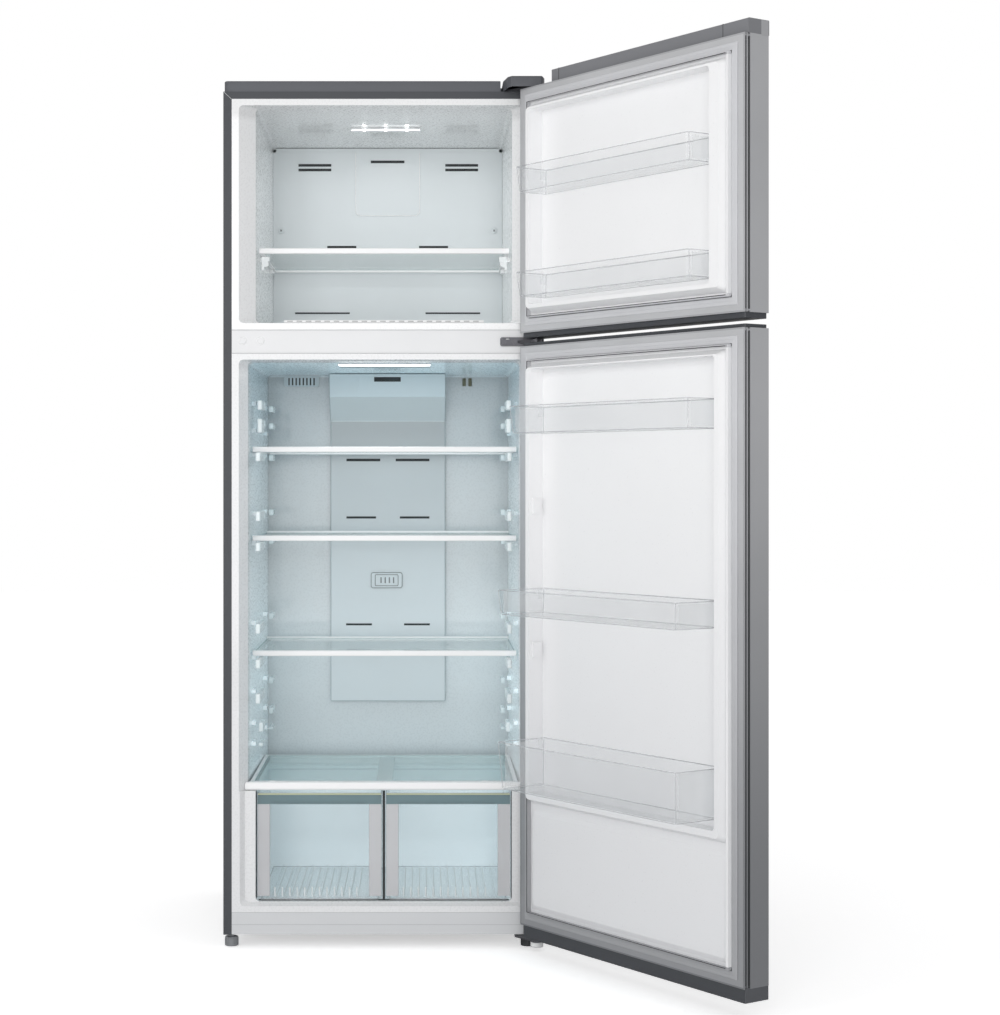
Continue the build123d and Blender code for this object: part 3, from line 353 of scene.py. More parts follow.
paint(clear_plastic, "crisper_drawer_left", "crisper_drawer_right")
for shelf in SHELVES:
    paint(white_plastic, shelf + "_trim")
    paint(glass, shelf + "_glass")


# ================================================================ shapes
ARC_STEPS = 6
BEVEL_SEGMENTS, BEVEL_PROFILE = 3, 0.6
TURNED_FINE = 40


def finished(name, mesh_builder, body, materials, smooth=False):
    """Makes an object from a bmesh in metres, and puts it on its body."""
    bmesh.ops.recalc_face_normals(mesh_builder, faces=mesh_builder.faces)
    data = bpy.data.meshes.new(name)
    mesh_builder.to_mesh(data)
    mesh_builder.free()
    for material in materials:
        data.materials.append(material)
    for face in data.polygons:
        face.use_smooth = smooth
    piece = bpy.data.objects.new(name, data)
    bpy.context.scene.collection.objects.link(piece)
    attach(piece, body)
    return piece


def add_box(builder, low, high, bevel, place, index=0):
    """A block with rounded edges, from one corner to the other in millimetres."""
    made = bmesh.new()
    bmesh.ops.create_cube(made, size=1.0)
    for vert in made.verts:
        vert.co = Vector([low[i] + (vert.co[i] + 0.5) * (high[i] - low[i]) for i in range(3)])
    if bevel:
        bmesh.ops.bevel(made, geom=list(made.edges), offset=bevel, segments=BEVEL_SEGMENTS,
                        profile=BEVEL_PROFILE, affect="EDGES")
    merge(builder, made, place, index)


def merge(builder, made, place, index):
    """Copies a small mesh into a larger one, carried to its place."""
    lookup = [builder.verts.new(place(*vert.co)) for vert in made.verts]
    made.verts.index_update()
    for face in made.faces:
        new = builder.faces.new([lookup[vert.index] for vert in face.verts])
        new.material_index = index
    made.free()


def blocks(name, spans, body, material, *, place=at, bevel):
    """Blocks with rounded edges, each from one corner to the other in millimetres, as one piece."""
    builder = bmesh.new()
    for low, high in spans:
        add_box(builder, low, high, bevel, place)
    return finished(name, builder, body, [material])


def lines(name, paths, radius, body, material, place=at, closed=True):
    """Round rods along paths of points in millimetres."""
    curve = bpy.data.curves.new(name, "CURVE")
    curve.dimensions = "3D"
    curve.bevel_depth = radius * MM
    curve.bevel_resolution = 2
    curve.use_fill_caps = True
    for path in paths:
        spline = curve.splines.new("POLY")
        spline.points.add(len(path) - 1)
        for point, place_mm in zip(spline.points, path):
            point.co = (*place(*place_mm), 1.0)
        spline.use_cyclic_u = closed
    curve.materials.append(material)
    piece = bpy.data.objects.new(name, curve)
    bpy.context.scene.collection.objects.link(piece)
    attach(piece, body)
    return piece


def frame_sweep(name, profile, rect, body, material, place, replaced=()):
    """A closed profile of (inward, out) points carried round a rectangle, mitred at its corners."""
    s0, z0, s1, z1 = rect
    builder = bmesh.new()
    rings = []
    for sx, sz in ((0, 0), (1, 0), (1, 1), (0, 1)):
        ring = []
        for inward, out in profile:
            s = s1 - inward if sx else s0 + inward
            z = z1 - inward if sz else z0 + inward
            ring.append(builder.verts.new(place(s, out, z)))
        rings.append(ring)
    count = len(profile)
    for a, b in zip(rings, rings[1:] + rings[:1]):
        for i in range(count):
            j = (i + 1) % count
            builder.faces.new((a[i], a[j], b[j], b[i]))
    piece = finished(name, builder, body, [material])
    if replaced:
        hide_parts(*replaced)
    return piece


def add_turned(builder, profile, centre, axis, segments=20):
    """A solid of revolution of (radius, height) points about an axis through a centre, in millimetres."""
    axis = Vector(axis).normalized()
    side = axis.orthogonal().normalized()
    other = axis.cross(side)
    rings = []
    for radius, height in profile:
        ring = []
        for k in range(segments):
            angle = 2 * math.pi * k / segments
            spoke = (side * math.cos(angle) + other * math.sin(angle)) * radius
            ring.append(builder.verts.new((Vector(centre) + axis * height + spoke) * MM))
        rings.append(ring)
    for a, b in zip(rings, rings[1:]):
        for k in range(segments):
            j = (k + 1) % segments
            builder.faces.new((a[k], a[j], b[j], b[k]))
    builder.faces.new(rings[0])
    builder.faces.new(rings[-1])


def screws(name, centres, axis, radius, body, material):
    """Pan-head screws with a cross recess, painted dark as shade."""
    builder = bmesh.new()
    axis = Vector(axis)
    side = axis.orthogonal().normalized()
    other = axis.cross(side)
    for centre in centres:
        add_turned(builder, ((radius, 0.0), (radius, 0.35 * radius), (0.7 * radius, 0.6 * radius),
                             (0.1 * radius, 0.68 * radius)), centre, axis)
        for long, short in ((side, other), (other, side)):
            def crossed(u, v, w, long=long, short=short, centre=centre):
                return (Vector(centre) + long * u + short * v + axis * w) * MM
            # The cross recess is two dark blocks: painted shade in the recess.
            add_box(builder, (-0.45 * radius, -0.09 * radius, 0.5 * radius),
                    (0.45 * radius, 0.09 * radius, 0.72 * radius), 0.0, crossed, 1)
    return finished(name, builder, body, [material, shadow_and_seam_dark])


def arc(centre, radius, start, end):
    """Points along an arc, from one angle to another in degrees."""
    turns = [math.radians(start + (end - start) * k / ARC_STEPS) for k in range(ARC_STEPS + 1)]
    return [(centre[0] + radius * math.cos(t), centre[1] + radius * math.sin(t)) for t in turns]


# ================================================================ cabinet details
low, high = corners("evaporator_cover")
face = low.y
base = low.z - 5
# each slot: middle, height, width, and half its opening
PANEL_SLOTS = [(-173, high.z - 33, 78, 3.1), (-173, high.z - 44, 78, 3.1), (176, high.z - 33, 78, 3.1),
               (176, high.z - 44, 78, 3.1), (0, high.z - 25, 80, 3.1), (-109, base + 218, 69, 3.1),
               (109, base + 218, 69, 3.1), (-155, base + 61, 130, 2.0), (155, base + 61, 130, 2.0)]
# The dark blocks behind each panel slot are painted shadow standing for the dark inside the slots. The
# fillings round them are panel plastic.
fillings, slot_shadow_blocks = [], []
for x, z, wide, reach in PANEL_SLOTS:
    proud = 1.6 if x == 0 else 0.1
    fillings.append(((x - wide / 2 - 0.3, face - proud, z - 4.1), (x + wide / 2 + 0.3, face + 1.5, z + 4.1)))
    slot_shadow_blocks.append(((x - wide / 2, face - proud - 0.15, z - reach), (x + wide / 2, face + 1.2, z + reach)))
blocks("freezer_panel_slot_fillings", fillings, CABINET, freezer_panel, bevel=0.05)
blocks("freezer_panel_slot_shadows", slot_shadow_blocks, CABINET, shadow_and_seam_dark, bevel=0.2)
cap_x, cap_z = 253, 1591
screws("freezer_panel_caps", [(-cap_x, face, cap_z), (cap_x, face, cap_z)], (0, -1, 0), 7.0, CABINET,
       freezer_panel)
panel_top = high.z - 3
seam_x, seam_foot, seam_cut = 76, 1627, 8
seam_half = [(seam_x, face, panel_top), (seam_x, face, seam_foot + seam_cut),
             (seam_x - seam_cut, face, seam_foot)]
lines("freezer_panel_seam", [[(-x, y, z) for x, y, z in seam_half] + seam_half[::-1]], 1.1, CABINET,
      freezer_inside, closed=False)
wall, flange_foot = 272.2, 1338
flange_near, flange_far = face + 0.5, face + 2.0
blocks("freezer_panel_flange", [
    ((-wall, flange_near, flange_foot), (low.x + 2.6, flange_far, high.z + 5)),
    ((high.x - 2.6, flange_near, flange_foot), (wall, flange_far, high.z + 5)),
    ((-wall, flange_near, high.z - 2.6), (wall, flange_far, high.z + 7))],
    CABINET, freezer_panel, bevel=0.4)
blocks("sensor_louvres", [((x, 552, 1224), (x + 8, 557.5, 1243)) for x in (179, 193)], CABINET, olive,
       bevel=1.5)
low, high = corners("freezer_light")
builder = bmesh.new()
for x in (-48, 0, 48):
    add_box(builder, (x - 3.5, low.y - 0.9, low.z - 1.0), (x + 3.5, low.y + 3, low.z + 1.2), 0.9, at)
finished("freezer_leds", builder, CABINET, [led])
blocks("freezer_light_lens", [((low.x + 2, low.y - 0.3, low.z - 0.5),
                               (high.x - 2, low.y + 4.0, low.z + 0.9))],
       CABINET, lamp, bevel=1.2)
low, high = corners("fridge_light")
lens_rear = low.y + 52
blocks("fridge_light_lens", [((low.x + 1, low.y - 0.3, low.z - 0.6), (high.x - 1, lens_rear, low.z + 1.5))]
       + [((x, low.y + 6, low.z - 1.1), (x + 2.5, lens_rear - 4, low.z + 1)) for x in range(-92, 91, 8)],
       CABINET, lamp, bevel=0.5)
low, high = corners("back_panel")
screws("back_screws", [(x, high.y, z) for x in (-315, 0, 315) for z in (330, 620, 910, 1200, 1490, 1780)],
       (0, 1, 0), 4.0, CABINET, screw_steel)
lines("back_panel_ribs", [[(x0, high.y - 0.6, z0), (x1, high.y - 0.6, z0), (x1, high.y - 0.6, z1),
                           (x0, high.y - 0.6, z1)] for x0, x1 in ((-285, -20), (20, 285))
                          for z0, z1 in ((340, 1180), (1220, 1760))], 1.5, CABINET, galvanised)
low, high = corners("compressor")
centre = (low + high) / 2
builder = bmesh.new()
radius = min(high.x - low.x, high.y - low.y) / 2
seam = low.z + 0.55 * (high.z - low.z)
add_turned(builder, ((radius - 1, -4), (radius + 2.5, -3), (radius + 2.5, 3), (radius - 1, 4)),
           (centre.x, centre.y, seam), (0, 0, 1), TURNED_FINE)
add_box(builder, (centre.x - 24, high.y - 6, low.z + 40), (centre.x + 24, high.y + 12, low.z + 92), 5.0, at)
finished("compressor_seam_and_box", builder, CABINET, [black_paint])
pipe_z = high.z - 12
lines("compressor_pipes", [
    [(centre.x - 40, centre.y - 10, pipe_z), (centre.x - 70, centre.y - 10, pipe_z + 6),
     (centre.x - 110, centre.y, pipe_z),
     (centre.x - 130, centre.y + 6, pipe_z - 40), (centre.x - 132, centre.y + 6, 78),
     (-180, centre.y + 6, 72),
     (-260, centre.y + 6, 76), (-266, centre.y + 6, 120), (-268, centre.y + 10, 240)],
    [(centre.x + 36, centre.y + 12, pipe_z), (centre.x + 66, centre.y + 16, pipe_z + 4),
     (centre.x + 92, centre.y + 16, pipe_z - 22),
     (centre.x + 96, centre.y + 10, 130), (centre.x + 110, centre.y, 226)]],
    3.2, CABINET, copper, closed=False)
low, high = corners("middle_hinge")
screws("middle_hinge_screws", [(low.x + 14, low.y, (low.z + high.z) / 2)], (0, 0, 1), 4.0, CABINET,
       screw_steel)
low, high = corners("bottom_hinge")
screws("bottom_hinge_screws", [(low.x + 14, 20, high.z), (low.x + 34, 20, high.z)], (0, 0, -1), 3.5, CABINET,
       screw_steel)
low, high = corners("return_grille")
blocks("return_grille_lip", [((low.x, low.y - 1.5, low.z), (high.x, low.y + 1, high.z + 2.5))], CABINET,
       white_plastic, bevel=0.7)
blocks("return_grille_slots", [((x, low.y - 1.8, low.z + 1.4), (x + 12, low.y - 1.3, high.z + 1.4))
                               for x in range(-208, 200, 20)], CABINET, pale_plastic,
       bevel=0.2)
# each slot: middle, height, width and opening
DUCT_SLOTS = ((-59.0, 1046.5, 80.0, 5.0), (59.0, 1046.5, 80.0, 5.0), (-64.0, 908.7, 70.0, 4.0),
              (64.0, 908.7, 70.0, 4.0), (-69.5, 652.4, 61.0, 3.5), (69.5, 652.4, 61.0, 3.5))
duct_face, duct_upper_face = 540.0, 470.0
# Dark blocks behind the duct slots and the top slot: painted shadow standing for the dark inside the slots.
blocks("duct_slot_shadows", [((x - wide / 2 - 0.5, duct_face - PROUD, z - tall / 2 - 0.6),
                              (x + wide / 2 + 0.5, duct_face + 1.2, z + tall / 2 + 0.6))
                             for x, z, wide, tall in DUCT_SLOTS]
       + [((-31.5, duct_upper_face - PROUD, 1231.0), (31.5, duct_upper_face + 1.2, 1242.0))],
       CABINET, shadow_and_seam_dark, bevel=0.2)
low, high = corners("air_duct_cover")
# The rods along the duct cover's sides and foot are darker lines: painted shadow for the gaps at its edges.
edge_line_in = 0.6
slope_foot, slope_top, duct_top = 1139, 1195, 1244
edge_line_y, edge_line_upper_y = duct_face + PROUD, duct_upper_face + 2 * PROUD
duct_sides = [[(x, edge_line_y, low.z + edge_line_in), (x, edge_line_y, slope_foot), (x, edge_line_upper_y, slope_top),
               (x, edge_line_upper_y, duct_top)] for x in (low.x + edge_line_in, high.x - edge_line_in)]
lines("duct_edge_shadows", duct_sides + [[side[0] for side in duct_sides]], 0.8, CABINET, duct_edge,
      closed=False)


def rounded_loop(cx, y, cz, wide, tall, corner):
    """A rectangle with rounded corners, standing across the cabinet."""
    plan = []
    for sx, sz, start in ((1, 1, 0), (-1, 1, 90), (-1, -1, 180), (1, -1, 270)):
        middle = (cx + sx * (wide / 2 - corner), cz + sz * (tall / 2 - corner))
        plan += arc(middle, corner, start, start + 90)
    return [(x, y, z) for x, z in plan]


low, high = corners("filter_cover")
fx, fz = (low.x + high.x) / 2, (low.z + high.z) / 2
lines("filter_outlines", [rounded_loop(fx, low.y + 0.3, fz, 74, 36, 5),
                          rounded_loop(fx, low.y + 0.3, fz, 55, 27, 3)],
      0.8, CABINET, badge_grey)
blocks("filter_vents", [((fx - 15 + 10 * k, low.y + 0.6, fz - 7), (fx - 12 + 10 * k, low.y + 1.6, fz + 7))
                        for k in range(4)], CABINET, badge_grey, bevel=0.4)
# each pair of rests: top, height and front end
SPARE_RESTS = ((1172.0, 21.0, 72.0), (1132.0, 31.0, 72.0), (931.0, 21.0, 24.0), (689.0, 21.0, 24.0),
               (539.0, 21.0, 24.0), (469.0, 21.0, 102.0), (424.0, 8.0, 102.0))
rest_places = [(corners(shelf + "_trim")[0].z - 1.5, 19.0, 24.0)
               for shelf in SHELVES[1:]]
rests = []
for z, tall, start in rest_places + list(SPARE_RESTS):
    for near, far in ((-275.6, -265.5), (265.5, 275.6)):
        rests.append(((near, start, z - tall), (far, 150.0, z)))
        rests.append(((near, 160.0, z - min(tall, 17.0)), (far, 176.0, z - 1.0)))
        rests.append(((near, 404.0, z - min(tall, 15.0)), (far, 474.0, z - 1.0)))
blocks("shelf_rests", rests, CABINET, rest_white, bevel=3.0)
clip_z = 1468.0
builder = bmesh.new()
for side in (-1, 1):
    add_turned(builder, ((7.0, 0.0), (7.0, 2.0), (4.2, 2.0), (4.0, 0.4)), (side * 258, 74, clip_z),
               (0, -1, 0), 24)
    add_box(builder, (side * 258 - 9, 74, clip_z + 5), (side * 258 + 9, 78, clip_z + 16), 1.5, at)
    add_box(builder, (side * 264 - 3, 74, clip_z - 14), (side * 264 + 3, 78, clip_z + 6), 1.2, at)
finished("freezer_shelf_clips", builder, CABINET, [rib_white])
# A dark strip in the gap between the two drawers: painted shadow, not a real part.
blocks("crisper_gap_shadow", [((-2.6, 22, 99), (2.6, 48, 328))], CABINET, shadow_and_seam_dark, bevel=0.6)
# Thin dark strips at the drawers' outer edges and along their foot: painted shadow in the gaps between
# drawers and liner.
blocks("crisper_edge_gap_shadows", [((-274.2, 21.5, 99), (-272.9, 30, 330)), ((272.9, 21.5, 99), (274.2, 30, 330)),
                              ((-272, 23, 96.4), (272, 30, 97.3))], CABINET, shadow_and_seam_dark,
       bevel=0.2)
# A pale line on the shell's top left corner mitre: painted highlight of the lit seam edge.
lines("corner_seam_highlight", [[(-341.5, -0.1, 1828.0), (-325.5, -0.1, 1813.0)]], 0.5, CABINET, pale_plastic,
      closed=False)
GLIDE_FOOT = (326, -26, 8.5)
builder = bmesh.new()
add_turned(builder, ((13.2, 0.0), (13.6, 0.8), (13.6, 9.0), (13.2, 10.0)), GLIDE_FOOT, (0, 0, 1),
           TURNED_FINE)
finished("hinge_glide_sleeve", builder, CABINET, [white_plastic], smooth=True)
low, high = corners("vent_grille")
vent_slots, slot_pitch, slot_left, slot_right = 8, 8.6, -209.7, -206.3
slot_steps = [slot_pitch * (k - (vent_slots - 1) / 2) for k in range(vent_slots)]
# Dark blocks in the vent slots: painted shadow standing for the dark inside the slots.
blocks("vent_slot_shadows", [((slot_left + step, low.y - 0.15, low.z + 3.2),
                              (slot_right + step, low.y + 1.2, high.z - 3.2)) for step in slot_steps],
       CABINET, shadow_and_seam_dark, bevel=0.2)
blocks("vent_shadow", [((low.x + 3, high.y - 1.2, low.z + 3), (high.x - 3, high.y - 0.2, high.z - 3))],
       CABINET, shadow_and_seam_dark, bevel=0.3)
plug_rims = bmesh.new()
for x in (-301, -263):
    add_turned(plug_rims, ((8.2, 0.0), (8.2, 0.8), (7.0, 1.3), (6.6, 0.2)), (x, 0, 1296.3), (0, -1, 0), 28)
finished("mullion_plug_rims", plug_rims, CABINET, [white_plastic], smooth=True)

low, high = corners("mullion_cover")
lines("mullion_seams", [[(low.x, low.y + 0.1, z), (high.x, low.y + 0.1, z)] for z in (low.z, high.z)], 0.45,
      CABINET, seam_grey, closed=False)
low, high = corners("kick_panel")
lines("kick_seams", [[(low.x, low.y + 0.1, z), (high.x, low.y + 0.1, z)] for z in (high.z, high.z - 26)],
      0.4,
      CABINET, seam_grey, closed=False)

# ---------------------------------------------------------------- feet
GRIP_RIBS = 20
for foot, material, slot in (("foot_left", foot_grey, "grey_plastic"),
                             ("foot_right", black_plastic, "roller_plastic")):
    low, high = corners(foot)
    cx, cy = (low.x + high.x) / 2, (low.y + high.y) / 2
    reach = (high.x - low.x) / 2
    builder = bmesh.new()
    for k in range(GRIP_RIBS):
        turn = 2 * math.pi * k / GRIP_RIBS

        def around(u, v, w, turn=turn, cx=cx, cy=cy):
            return at(cx + u * math.cos(turn) - v * math.sin(turn),
                      cy + u * math.sin(turn) + v * math.cos(turn), w)
        add_box(builder, (reach - 2, -1.1, 3), (reach + 0.75, 1.1, 17), 0.4, around)
    add_turned(builder, ((reach - 3, 0.0), (reach + 0.5, 0.8), (reach + 0.5, 2.4), (reach - 1, 3.2)),
               (cx, cy, 0), (0, 0, 1), TURNED_FINE)
    finished(foot + "_grip", builder, foot, [material])

# ---------------------------------------------------------------- glass edges and shelf beads
GLASS_RIM = 0.6


def rectangle(low, high, inset, z, shrink=0.0):
    """A level rectangle inside a box, set in by an inset and narrowed by a further amount."""
    near, far = low.y + inset, high.y - inset
    left, right = low.x + inset + shrink, high.x - inset - shrink
    return [(left, near, z), (right, near, z), (right, far, z), (left, far, z)]


for shelf in SHELVES:
    low, high = corners(shelf + "_glass")
    lines(shelf + "_glass_edge", [rectangle(low, high, 1.5, high.z - GLASS_RIM)], 0.7, shelf, glass_edge)
low, high = corners("crisper_cover_glass")
lines("crisper_glass_edge", [rectangle(low, high, 2.0, high.z - GLASS_RIM)], 0.7, "crisper_cover",
      glass_edge)
for side in ("left", "right"):
    low, high = corners("humidity_slider_" + side)
    blocks(f"humidity_grip_{side}", [((low.x + 2 + 2.4 * k, low.y - 0.3, low.z + 2),
                                      (low.x + 3.2 + 2.4 * k, low.y + 0.8, high.z - 2))
                                     for k in range(max(2, int((high.x - low.x - 4) / 2.4)))],
           "humidity_slider_" + side, white_plastic, bevel=0.25)

# ---------------------------------------------------------------- crisper drawers
RIB_PITCH = 16


def ribs_from(start, length):
    """The places of the ribs that fit along a length."""
    return [start + RIB_PITCH * k for k in range(int(length / RIB_PITCH))]


for side in ("left", "right"):
    drawer = "crisper_drawer_" + side
    low, high = corners(drawer)
    front = low.y
    blocks(drawer + "_side_bands", [((low.x + 1, front - 0.4, low.z + 8),
                                     (low.x + 27, front + 1.5, high.z - 24)),
                                    ((high.x - 27, front - 0.4, low.z + 8),
                                     (high.x - 1, front + 1.5, high.z - 24))],
           drawer, frosted, bevel=0.7)
    blocks(drawer + "_top_band", [((low.x + 1, front - 0.6, high.z - 24),
                                   (high.x - 1, front + 1.6, high.z - 4)),
                                  ((low.x + 30, front - 1.2, high.z - 22),
                                   (high.x - 30, front + 0.6, high.z - 19))],
           drawer, teal_band, bevel=0.8)
    blocks(drawer + "_seal", [((low.x + 2, front - 0.8, high.z - 4), (high.x - 2, front + 2, high.z - 1))],
           drawer, seal_green, bevel=0.7)
    inset = 1.0
    loops = [rectangle(low, high, inset, low.z + inset, 8.0), rectangle(low, high, inset, high.z - inset)]
    lines(drawer + "_rims", loops, 1.3, drawer, clear_edge)
    lines(drawer + "_front_posts", [[(x, front + 1, low.z + 9), (x, front + 1, high.z - 3)]
                                    for x in (low.x + 1.6, low.x + 27, high.x - 27, high.x - 1.6)],
          1.1, drawer, clear_edge, closed=False)
    lines(drawer + "_floor_ribs", [[(x, low.y + 18, low.z + 4.2), (x, high.y - 18, low.z + 4.2)]
                                   for x in ribs_from(low.x + 40, high.x - low.x - 70)],
          1.2, drawer, rib_white, closed=False)
    lines(drawer + "_front_ribs", [[(x, low.y + 6, low.z + 6), (x, low.y + 6, low.z + 26)]
                                   for x in ribs_from(low.x + 38, high.x - low.x - 66)],
          1.6, drawer, rib_white, closed=False)
    blocks(drawer + "_corner_stops", [((low.x + 2, front + 2, high.z - 9),
                                       (low.x + 9, front + 12, high.z - 5)),
                                      ((high.x - 9, front + 2, high.z - 9),
                                       (high.x - 2, front + 12, high.z - 5))],
           drawer, shadow_and_seam_dark, bevel=0.8)

# ================================================================ doors
GASKET_BASE = ((0.0, 0.1), (0.0, 1.6), (1.2, 2.4), (6.4, 2.6), (7.0, 2.1), (7.6, 2.6), (13.6, 2.6),
               (14.8, 1.8), (14.8, 0.1))
GASKET_BULB = ((15.6, 0.2), (15.6, 4.4), (16.1, 5.2), (15.6, 6.0), (15.7, 9.6), (16.4, 10.5), (18.0, 10.5),
               (18.7, 9.6), (18.6, 6.0), (18.1, 5.2), (18.6, 4.4), (18.6, 0.2))
# a door's lowest and highest points
DOORS = {"freezer_door": (1309.4, 1825.1), "fridge_door": (59.0, 1281.0)}
SIDE, END = 18.0, 14.5
BEAD, BEAD_OUT = 18.6, 10.8
FLANGE = ((3.2, 0.05), (3.2, 0.35), (17.4, 0.35), (17.4, 0.05))
for door, (low_z, high_z) in DOORS.items():
    rect = (SIDE, low_z + END, 2 * HALF - SIDE, high_z - END)
    frame_sweep(door + "_gasket_base", GASKET_BASE, rect, door, rubber, on_door,
                (door + "_gasket",))
    frame_sweep(door + "_flange_face", FLANGE, (0.0, low_z, 2 * HALF, high_z), door, flange_steel,
                on_door)
    frame_sweep(door + "_gasket_bulb", GASKET_BULB, rect, door, rubber, on_door)
    s_bead, z_bead_low, z_bead_high = SIDE + BEAD, low_z + END + BEAD, high_z - END - BEAD
    free_bead = 2 * HALF - SIDE - BEAD
    # A dark line along the inner edge of the gasket bulb: painted shadow.
    lines(door + "_gasket_shadow_lines", [[(free_bead - 4, BEAD_OUT, z_bead_low), (s_bead, BEAD_OUT, z_bead_low),
                                    (s_bead, BEAD_OUT, z_bead_high),
                                    (free_bead - 4, BEAD_OUT, z_bead_high)]],
          0.8, door, gasket_shadow_dark, place=on_door, closed=False)
    blocks(door + "_gasket_face", [((free_bead - 2.6, 1.0, z_bead_low + 3),
                                    (free_bead + 3.6, 11.2, z_bead_high - 3))],
           door, white_rubber, place=on_door, bevel=0.8)
    s_in, z_low, z_high = SIDE + 14.9, low_z + END + 14.9, high_z - END - 14.9
    free = 2 * HALF - SIDE - 20
    # Dark strips inside the gasket along its top, foot and hinge side: painted shadow of the gap between
    # gasket and liner.
    blocks(door + "_gasket_gap_shadow", [((s_in, 0.4, z_low), (free, 2.6, z_low + 2.4)),
                                     ((s_in, 0.4, z_high - 2.4), (free, 2.6, z_high)),
                                     ((s_in, 0.4, z_low), (s_in + 1.8, 2.6, z_high))],
           door, shadow_and_seam_dark, place=on_door, bevel=0.3)
    # Dark dots at the gasket's free corners: painted shadow.
    dots = bmesh.new()
    for z in (low_z + END + 16, high_z - END - 16):
        place = on_door(2 * HALF - SIDE - 16, 0.8, z) / MM
        normal = on_door(0, 1, 0) - on_door(0, 0, 0)
        add_turned(dots, ((3.2, 0.0), (3.2, 1.0), (2.4, 1.6), (0.4, 1.7)), place, normal, 20)
    finished(door + "_gasket_end_shadows", dots, door, [shadow_and_seam_dark])
    edge = 2 * HALF
    # Dark strips in the two channels on the door's free edge: painted shade in the grooves.
    blocks(door + "_edge_channel_shadows", [((edge - 2.45, -13.8, low_z + 6), (edge - 1.6, -11.2, high_z - 6)),
                                    ((edge - 2.45, -5.8, low_z + 6), (edge - 1.6, -3.2, high_z - 6))],
           door, shadow_and_seam_dark, place=on_door, bevel=0.2)

# each bin: body, door, its two ends along the door, how far it reaches in, and its floor and lip
BINS = (
    ("freezer_bin_upper", "freezer_door", 70.0, 606.0, 68.0, 1594.0, 1647.0),
    ("freezer_bin_lower", "freezer_door", 70.0, 606.0, 68.0, 1378.0, 1429.0),
    ("fridge_bin_upper", "fridge_door", 62.0, 616.0, 80.0, 1095.0, 1152.0),
    ("fridge_bin_middle", "fridge_door", 62.0, 616.0, 110.0, 721.0, 773.0),
    ("fridge_bin_lower", "fridge_door", 62.0, 616.0, 110.0, 362.0, 460.0),
)


def outline(s0, s1, d0, d1, corner):
    """A bin's plan: square at the back, rounded at the front."""
    front_far = arc((s1 - corner, d1 - corner), corner, 0, 90)
    front_near = arc((s0 + corner, d1 - corner), corner, 90, 180)
    return [(s0, d0), (s1, d0)] + front_far + front_near


def tub(name, body, s0, s1, d0, d1, low_z, high_z):
    """A thin clear tub that narrows towards its floor, with a rolled lip, open on top."""
    builder = bmesh.new()
    wall = 2.4
    lean = 0.05 * (high_z - low_z)
    # height and inset of each ring, from the floor up the outside and down the inside
    levels = ((low_z, 4.0 + lean), (low_z + 4, 0.6 + lean), (high_z - 3.0, 1.4), (high_z - 2.6, 0.0),
              (high_z, 0.0), (high_z, wall + 0.4), (low_z + wall + 3, wall + 0.6 + lean),
              (low_z + wall, wall + 4 + lean))
    rings = []
    for z, inset in levels:
        plan = outline(s0 + inset, s1 - inset, d0 + inset, d1 - inset, 9.0)
        rings.append([builder.verts.new(on_door(s, d, z)) for s, d in plan])
    for a, b in zip(rings, rings[1:]):
        for k in range(len(a)):
            j = (k + 1) % len(a)
            builder.faces.new((a[k], a[j], b[j], b[k]))
    builder.faces.new(rings[0])
    builder.faces.new(rings[-1])
    piece = finished(name + "_tub", builder, body, [clear_plastic])
    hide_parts(name)
    lip = outline(s0 + 1, s1 - 1, d0 + 1, d1 - 1, 8.0)
    foot = outline(s0 + 4 + lean, s1 - 4 - lean, d0 + 4 + lean, d1 - 4 - lean, 7.0)
    lines(name + "_edges", [[(s, d, high_z - 1.0) for s, d in lip], [(s, d, low_z + 1.0) for s, d in foot]],
          0.9, body, clear_edge, place=on_door)
    posts = []
    for s_top, s_foot in ((s0 + 2, s0 + 4 + lean), (s1 - 2, s1 - 4 - lean)):
        for d_top, d_foot in ((d0 + 2, d0 + 4 + lean), (d1 - 4, d1 - 6 - lean)):
            posts.append([(s_foot, d_foot, low_z + 1.5), (s_top, d_top, high_z - 1.5)])
    lines(name + "_posts", posts, 0.8, body, clear_edge, place=on_door, closed=False)
    blocks(name + "_end_panels", [((s0 + 3 + lean, d0 + 5 + lean, low_z + 4),
                                   (s0 + 4.2 + lean, d1 - 12 - lean, high_z - 4)),
                                  ((s1 - 4.2 - lean, d0 + 5 + lean, low_z + 4),
                                   (s1 - 3 - lean, d1 - 12 - lean, high_z - 4))],
           body, clear_panel, place=on_door, bevel=0.4)
    blocks(name + "_hooks", [((s0 + 0.4, d0 + 2, high_z - 22), (s0 + 2.6, d0 + 16, high_z - 4)),
                             ((s1 - 2.6, d0 + 2, high_z - 22), (s1 - 0.4, d0 + 16, high_z - 4))],
           body, clear_panel, place=on_door, bevel=0.5)


for name, door, s0, s1, reach, low_z, high_z in BINS:
    tub(name, name, s0 + 1.0, s1, -14.5, reach, low_z, high_z)

low_z, high_z = DOORS["freezer_door"]
blocks("freezer_trim_seams", [((s, -60, high_z + 1), (s + 1.2, -9.7, high_z + 28.0)) for s in (118, 615)],
       "freezer_door", shadow_and_seam_dark, place=on_door, bevel=0.1)

blocks("freezer_door_front_lip", [((2 * HALF - 3, -60.2, high_z - 2),
                                   (2 * HALF + 0.12, -42, high_z + 27.4))],
       "freezer_door", door_steel, place=on_door, bevel=0.1)

cap_low, cap_high = corners("fridge_door_bottom_cap")
blocks("fridge_door_end_plate", [((2 * HALF - 3.4, -60.2, cap_low.z + 1.0),
                                  (2 * HALF - 0.1, -4.2, cap_high.z + 2.0))],
       "fridge_door", door_steel, place=on_door, bevel=0.1)

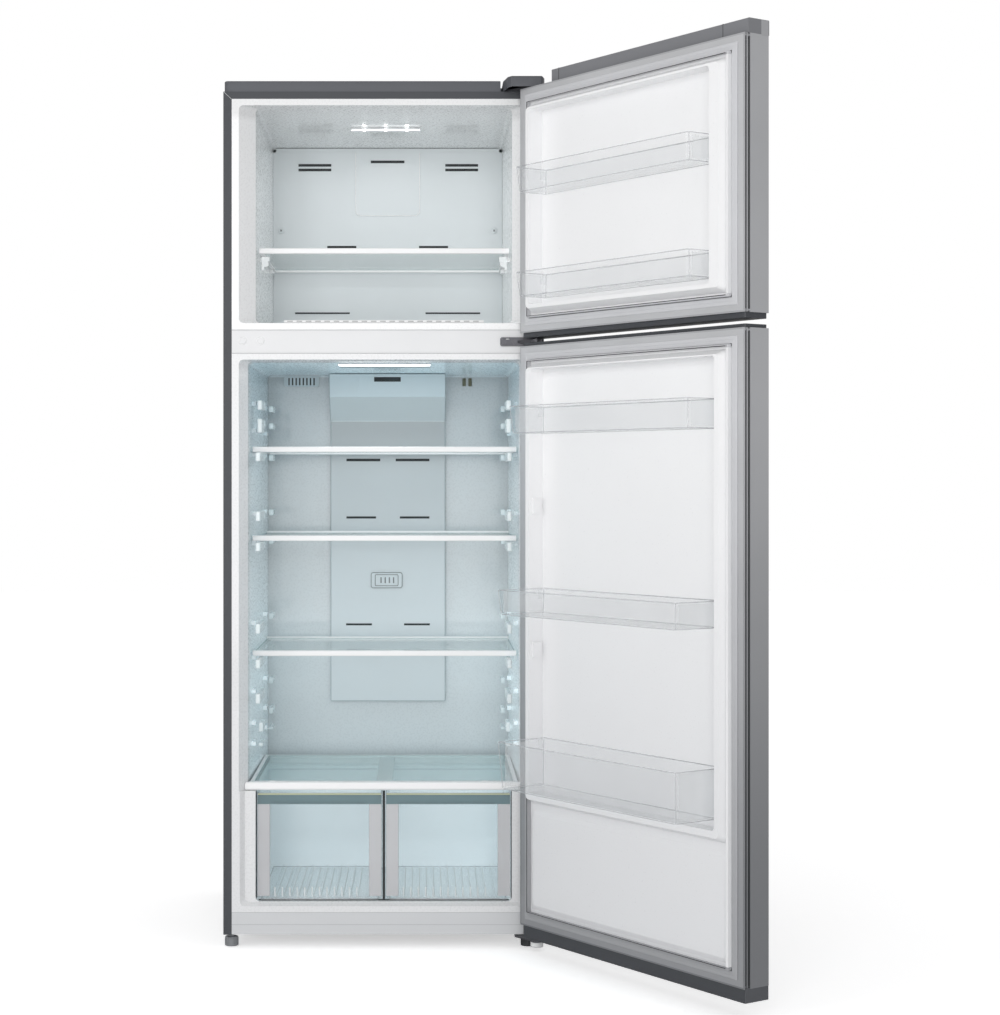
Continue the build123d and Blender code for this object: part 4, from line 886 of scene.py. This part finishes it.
# ================================================================ studio
SKY_LIGHT = 0.56
SENSOR_WIDTH, FOCAL_LENGTH = 36.0, 73.34
CAMERA_SHIFT = (0.0753, -0.0277)
CAMERA_PLACE = (0.0854, -4.4179, 1.0)


def seen_by_camera(tree, lighting, shown):
    """A strength that is one value for lighting and another as the camera sees it."""
    path = tree.nodes.new("ShaderNodeLightPath")
    return mapped(tree, path.outputs["Is Camera Ray"], lighting, shown)


floor_data = bpy.data.meshes.new("studio_floor")
floor_data.from_pydata([(-14, -8, 0), (14, -8, 0), (14, 14, 0), (-14, 14, 0)], [], [(0, 1, 2, 3)])
studio_floor = bpy.data.objects.new("studio_floor", floor_data)
bpy.context.scene.collection.objects.link(studio_floor)
studio_white = surface("floor", (0.93, 0.93, 0.935), 0.6, grain=40, mottle=0.004, bump=0.02)
floor_shader = studio_white.node_tree.nodes["Principled BSDF"]
floor_shader.inputs["Emission Color"].default_value = (1.0, 1.0, 1.0, 1.0)
link(studio_white.node_tree, seen_by_camera(studio_white.node_tree, 0.0, 0.5),
     floor_shader.inputs["Emission Strength"])
floor_data.materials.append(studio_white)

scene = bpy.context.scene
world = bpy.data.worlds.new("studio")
world.use_nodes = True
background = world.node_tree.nodes["Background"]
background.inputs["Color"].default_value = (1.0, 1.0, 1.0, 1.0)
link(world.node_tree, seen_by_camera(world.node_tree, SKY_LIGHT, 1.0), background.inputs["Strength"])
scene.world = world
scene.view_settings.view_transform = "Standard"
scene.view_settings.look = "None"
scene.cycles.transparent_max_bounces = 64


def softbox(name, place, aim, width, height, power, tint=(1.0, 1.0, 1.0)):
    """A rectangular area light that faces a point."""
    lamp_data = bpy.data.lights.new(name, "AREA")
    lamp_data.shape = "RECTANGLE"
    lamp_data.size = width
    lamp_data.size_y = height
    lamp_data.energy = power
    lamp_data.color = tint
    light = bpy.data.objects.new(name, lamp_data)
    scene.collection.objects.link(light)
    light.location = place
    light.rotation_euler = (Vector(aim) - Vector(place)).to_track_quat("-Z", "Y").to_euler()


# each light: place, the point it faces, width, height, power and colour, in metres and watts
softbox("front", (-0.3, -4.9, 1.5), (0.05, 0.3, 1.0), 2.6, 2.6, 72.0)
softbox("side", (-3.2, -2.6, 2.2), (0.3, 0.0, 1.1), 1.8, 2.2, 26.0)
softbox("fridge_lamp", (0.0, 0.137, 1.238), (0.0, 0.16, 0.3), 0.19, 0.11, 0.28, (0.96, 0.99, 1.0))
softbox("freezer_lamp", (0.0, 0.258, 1.775), (0.0, 0.3, 1.3), 0.14, 0.02, 0.17, (0.97, 0.99, 1.0))

camera_data = bpy.data.cameras.new("camera")
camera_data.sensor_width = SENSOR_WIDTH
camera_data.lens = FOCAL_LENGTH
camera_data.shift_x, camera_data.shift_y = CAMERA_SHIFT
camera_data.clip_start = 0.01
camera_data.clip_end = 100.0
camera = bpy.data.objects.new("camera", camera_data)
scene.collection.objects.link(camera)
camera.location = CAMERA_PLACE
camera.rotation_euler = (math.radians(90.0), 0.0, 0.0)
scene.camera = camera
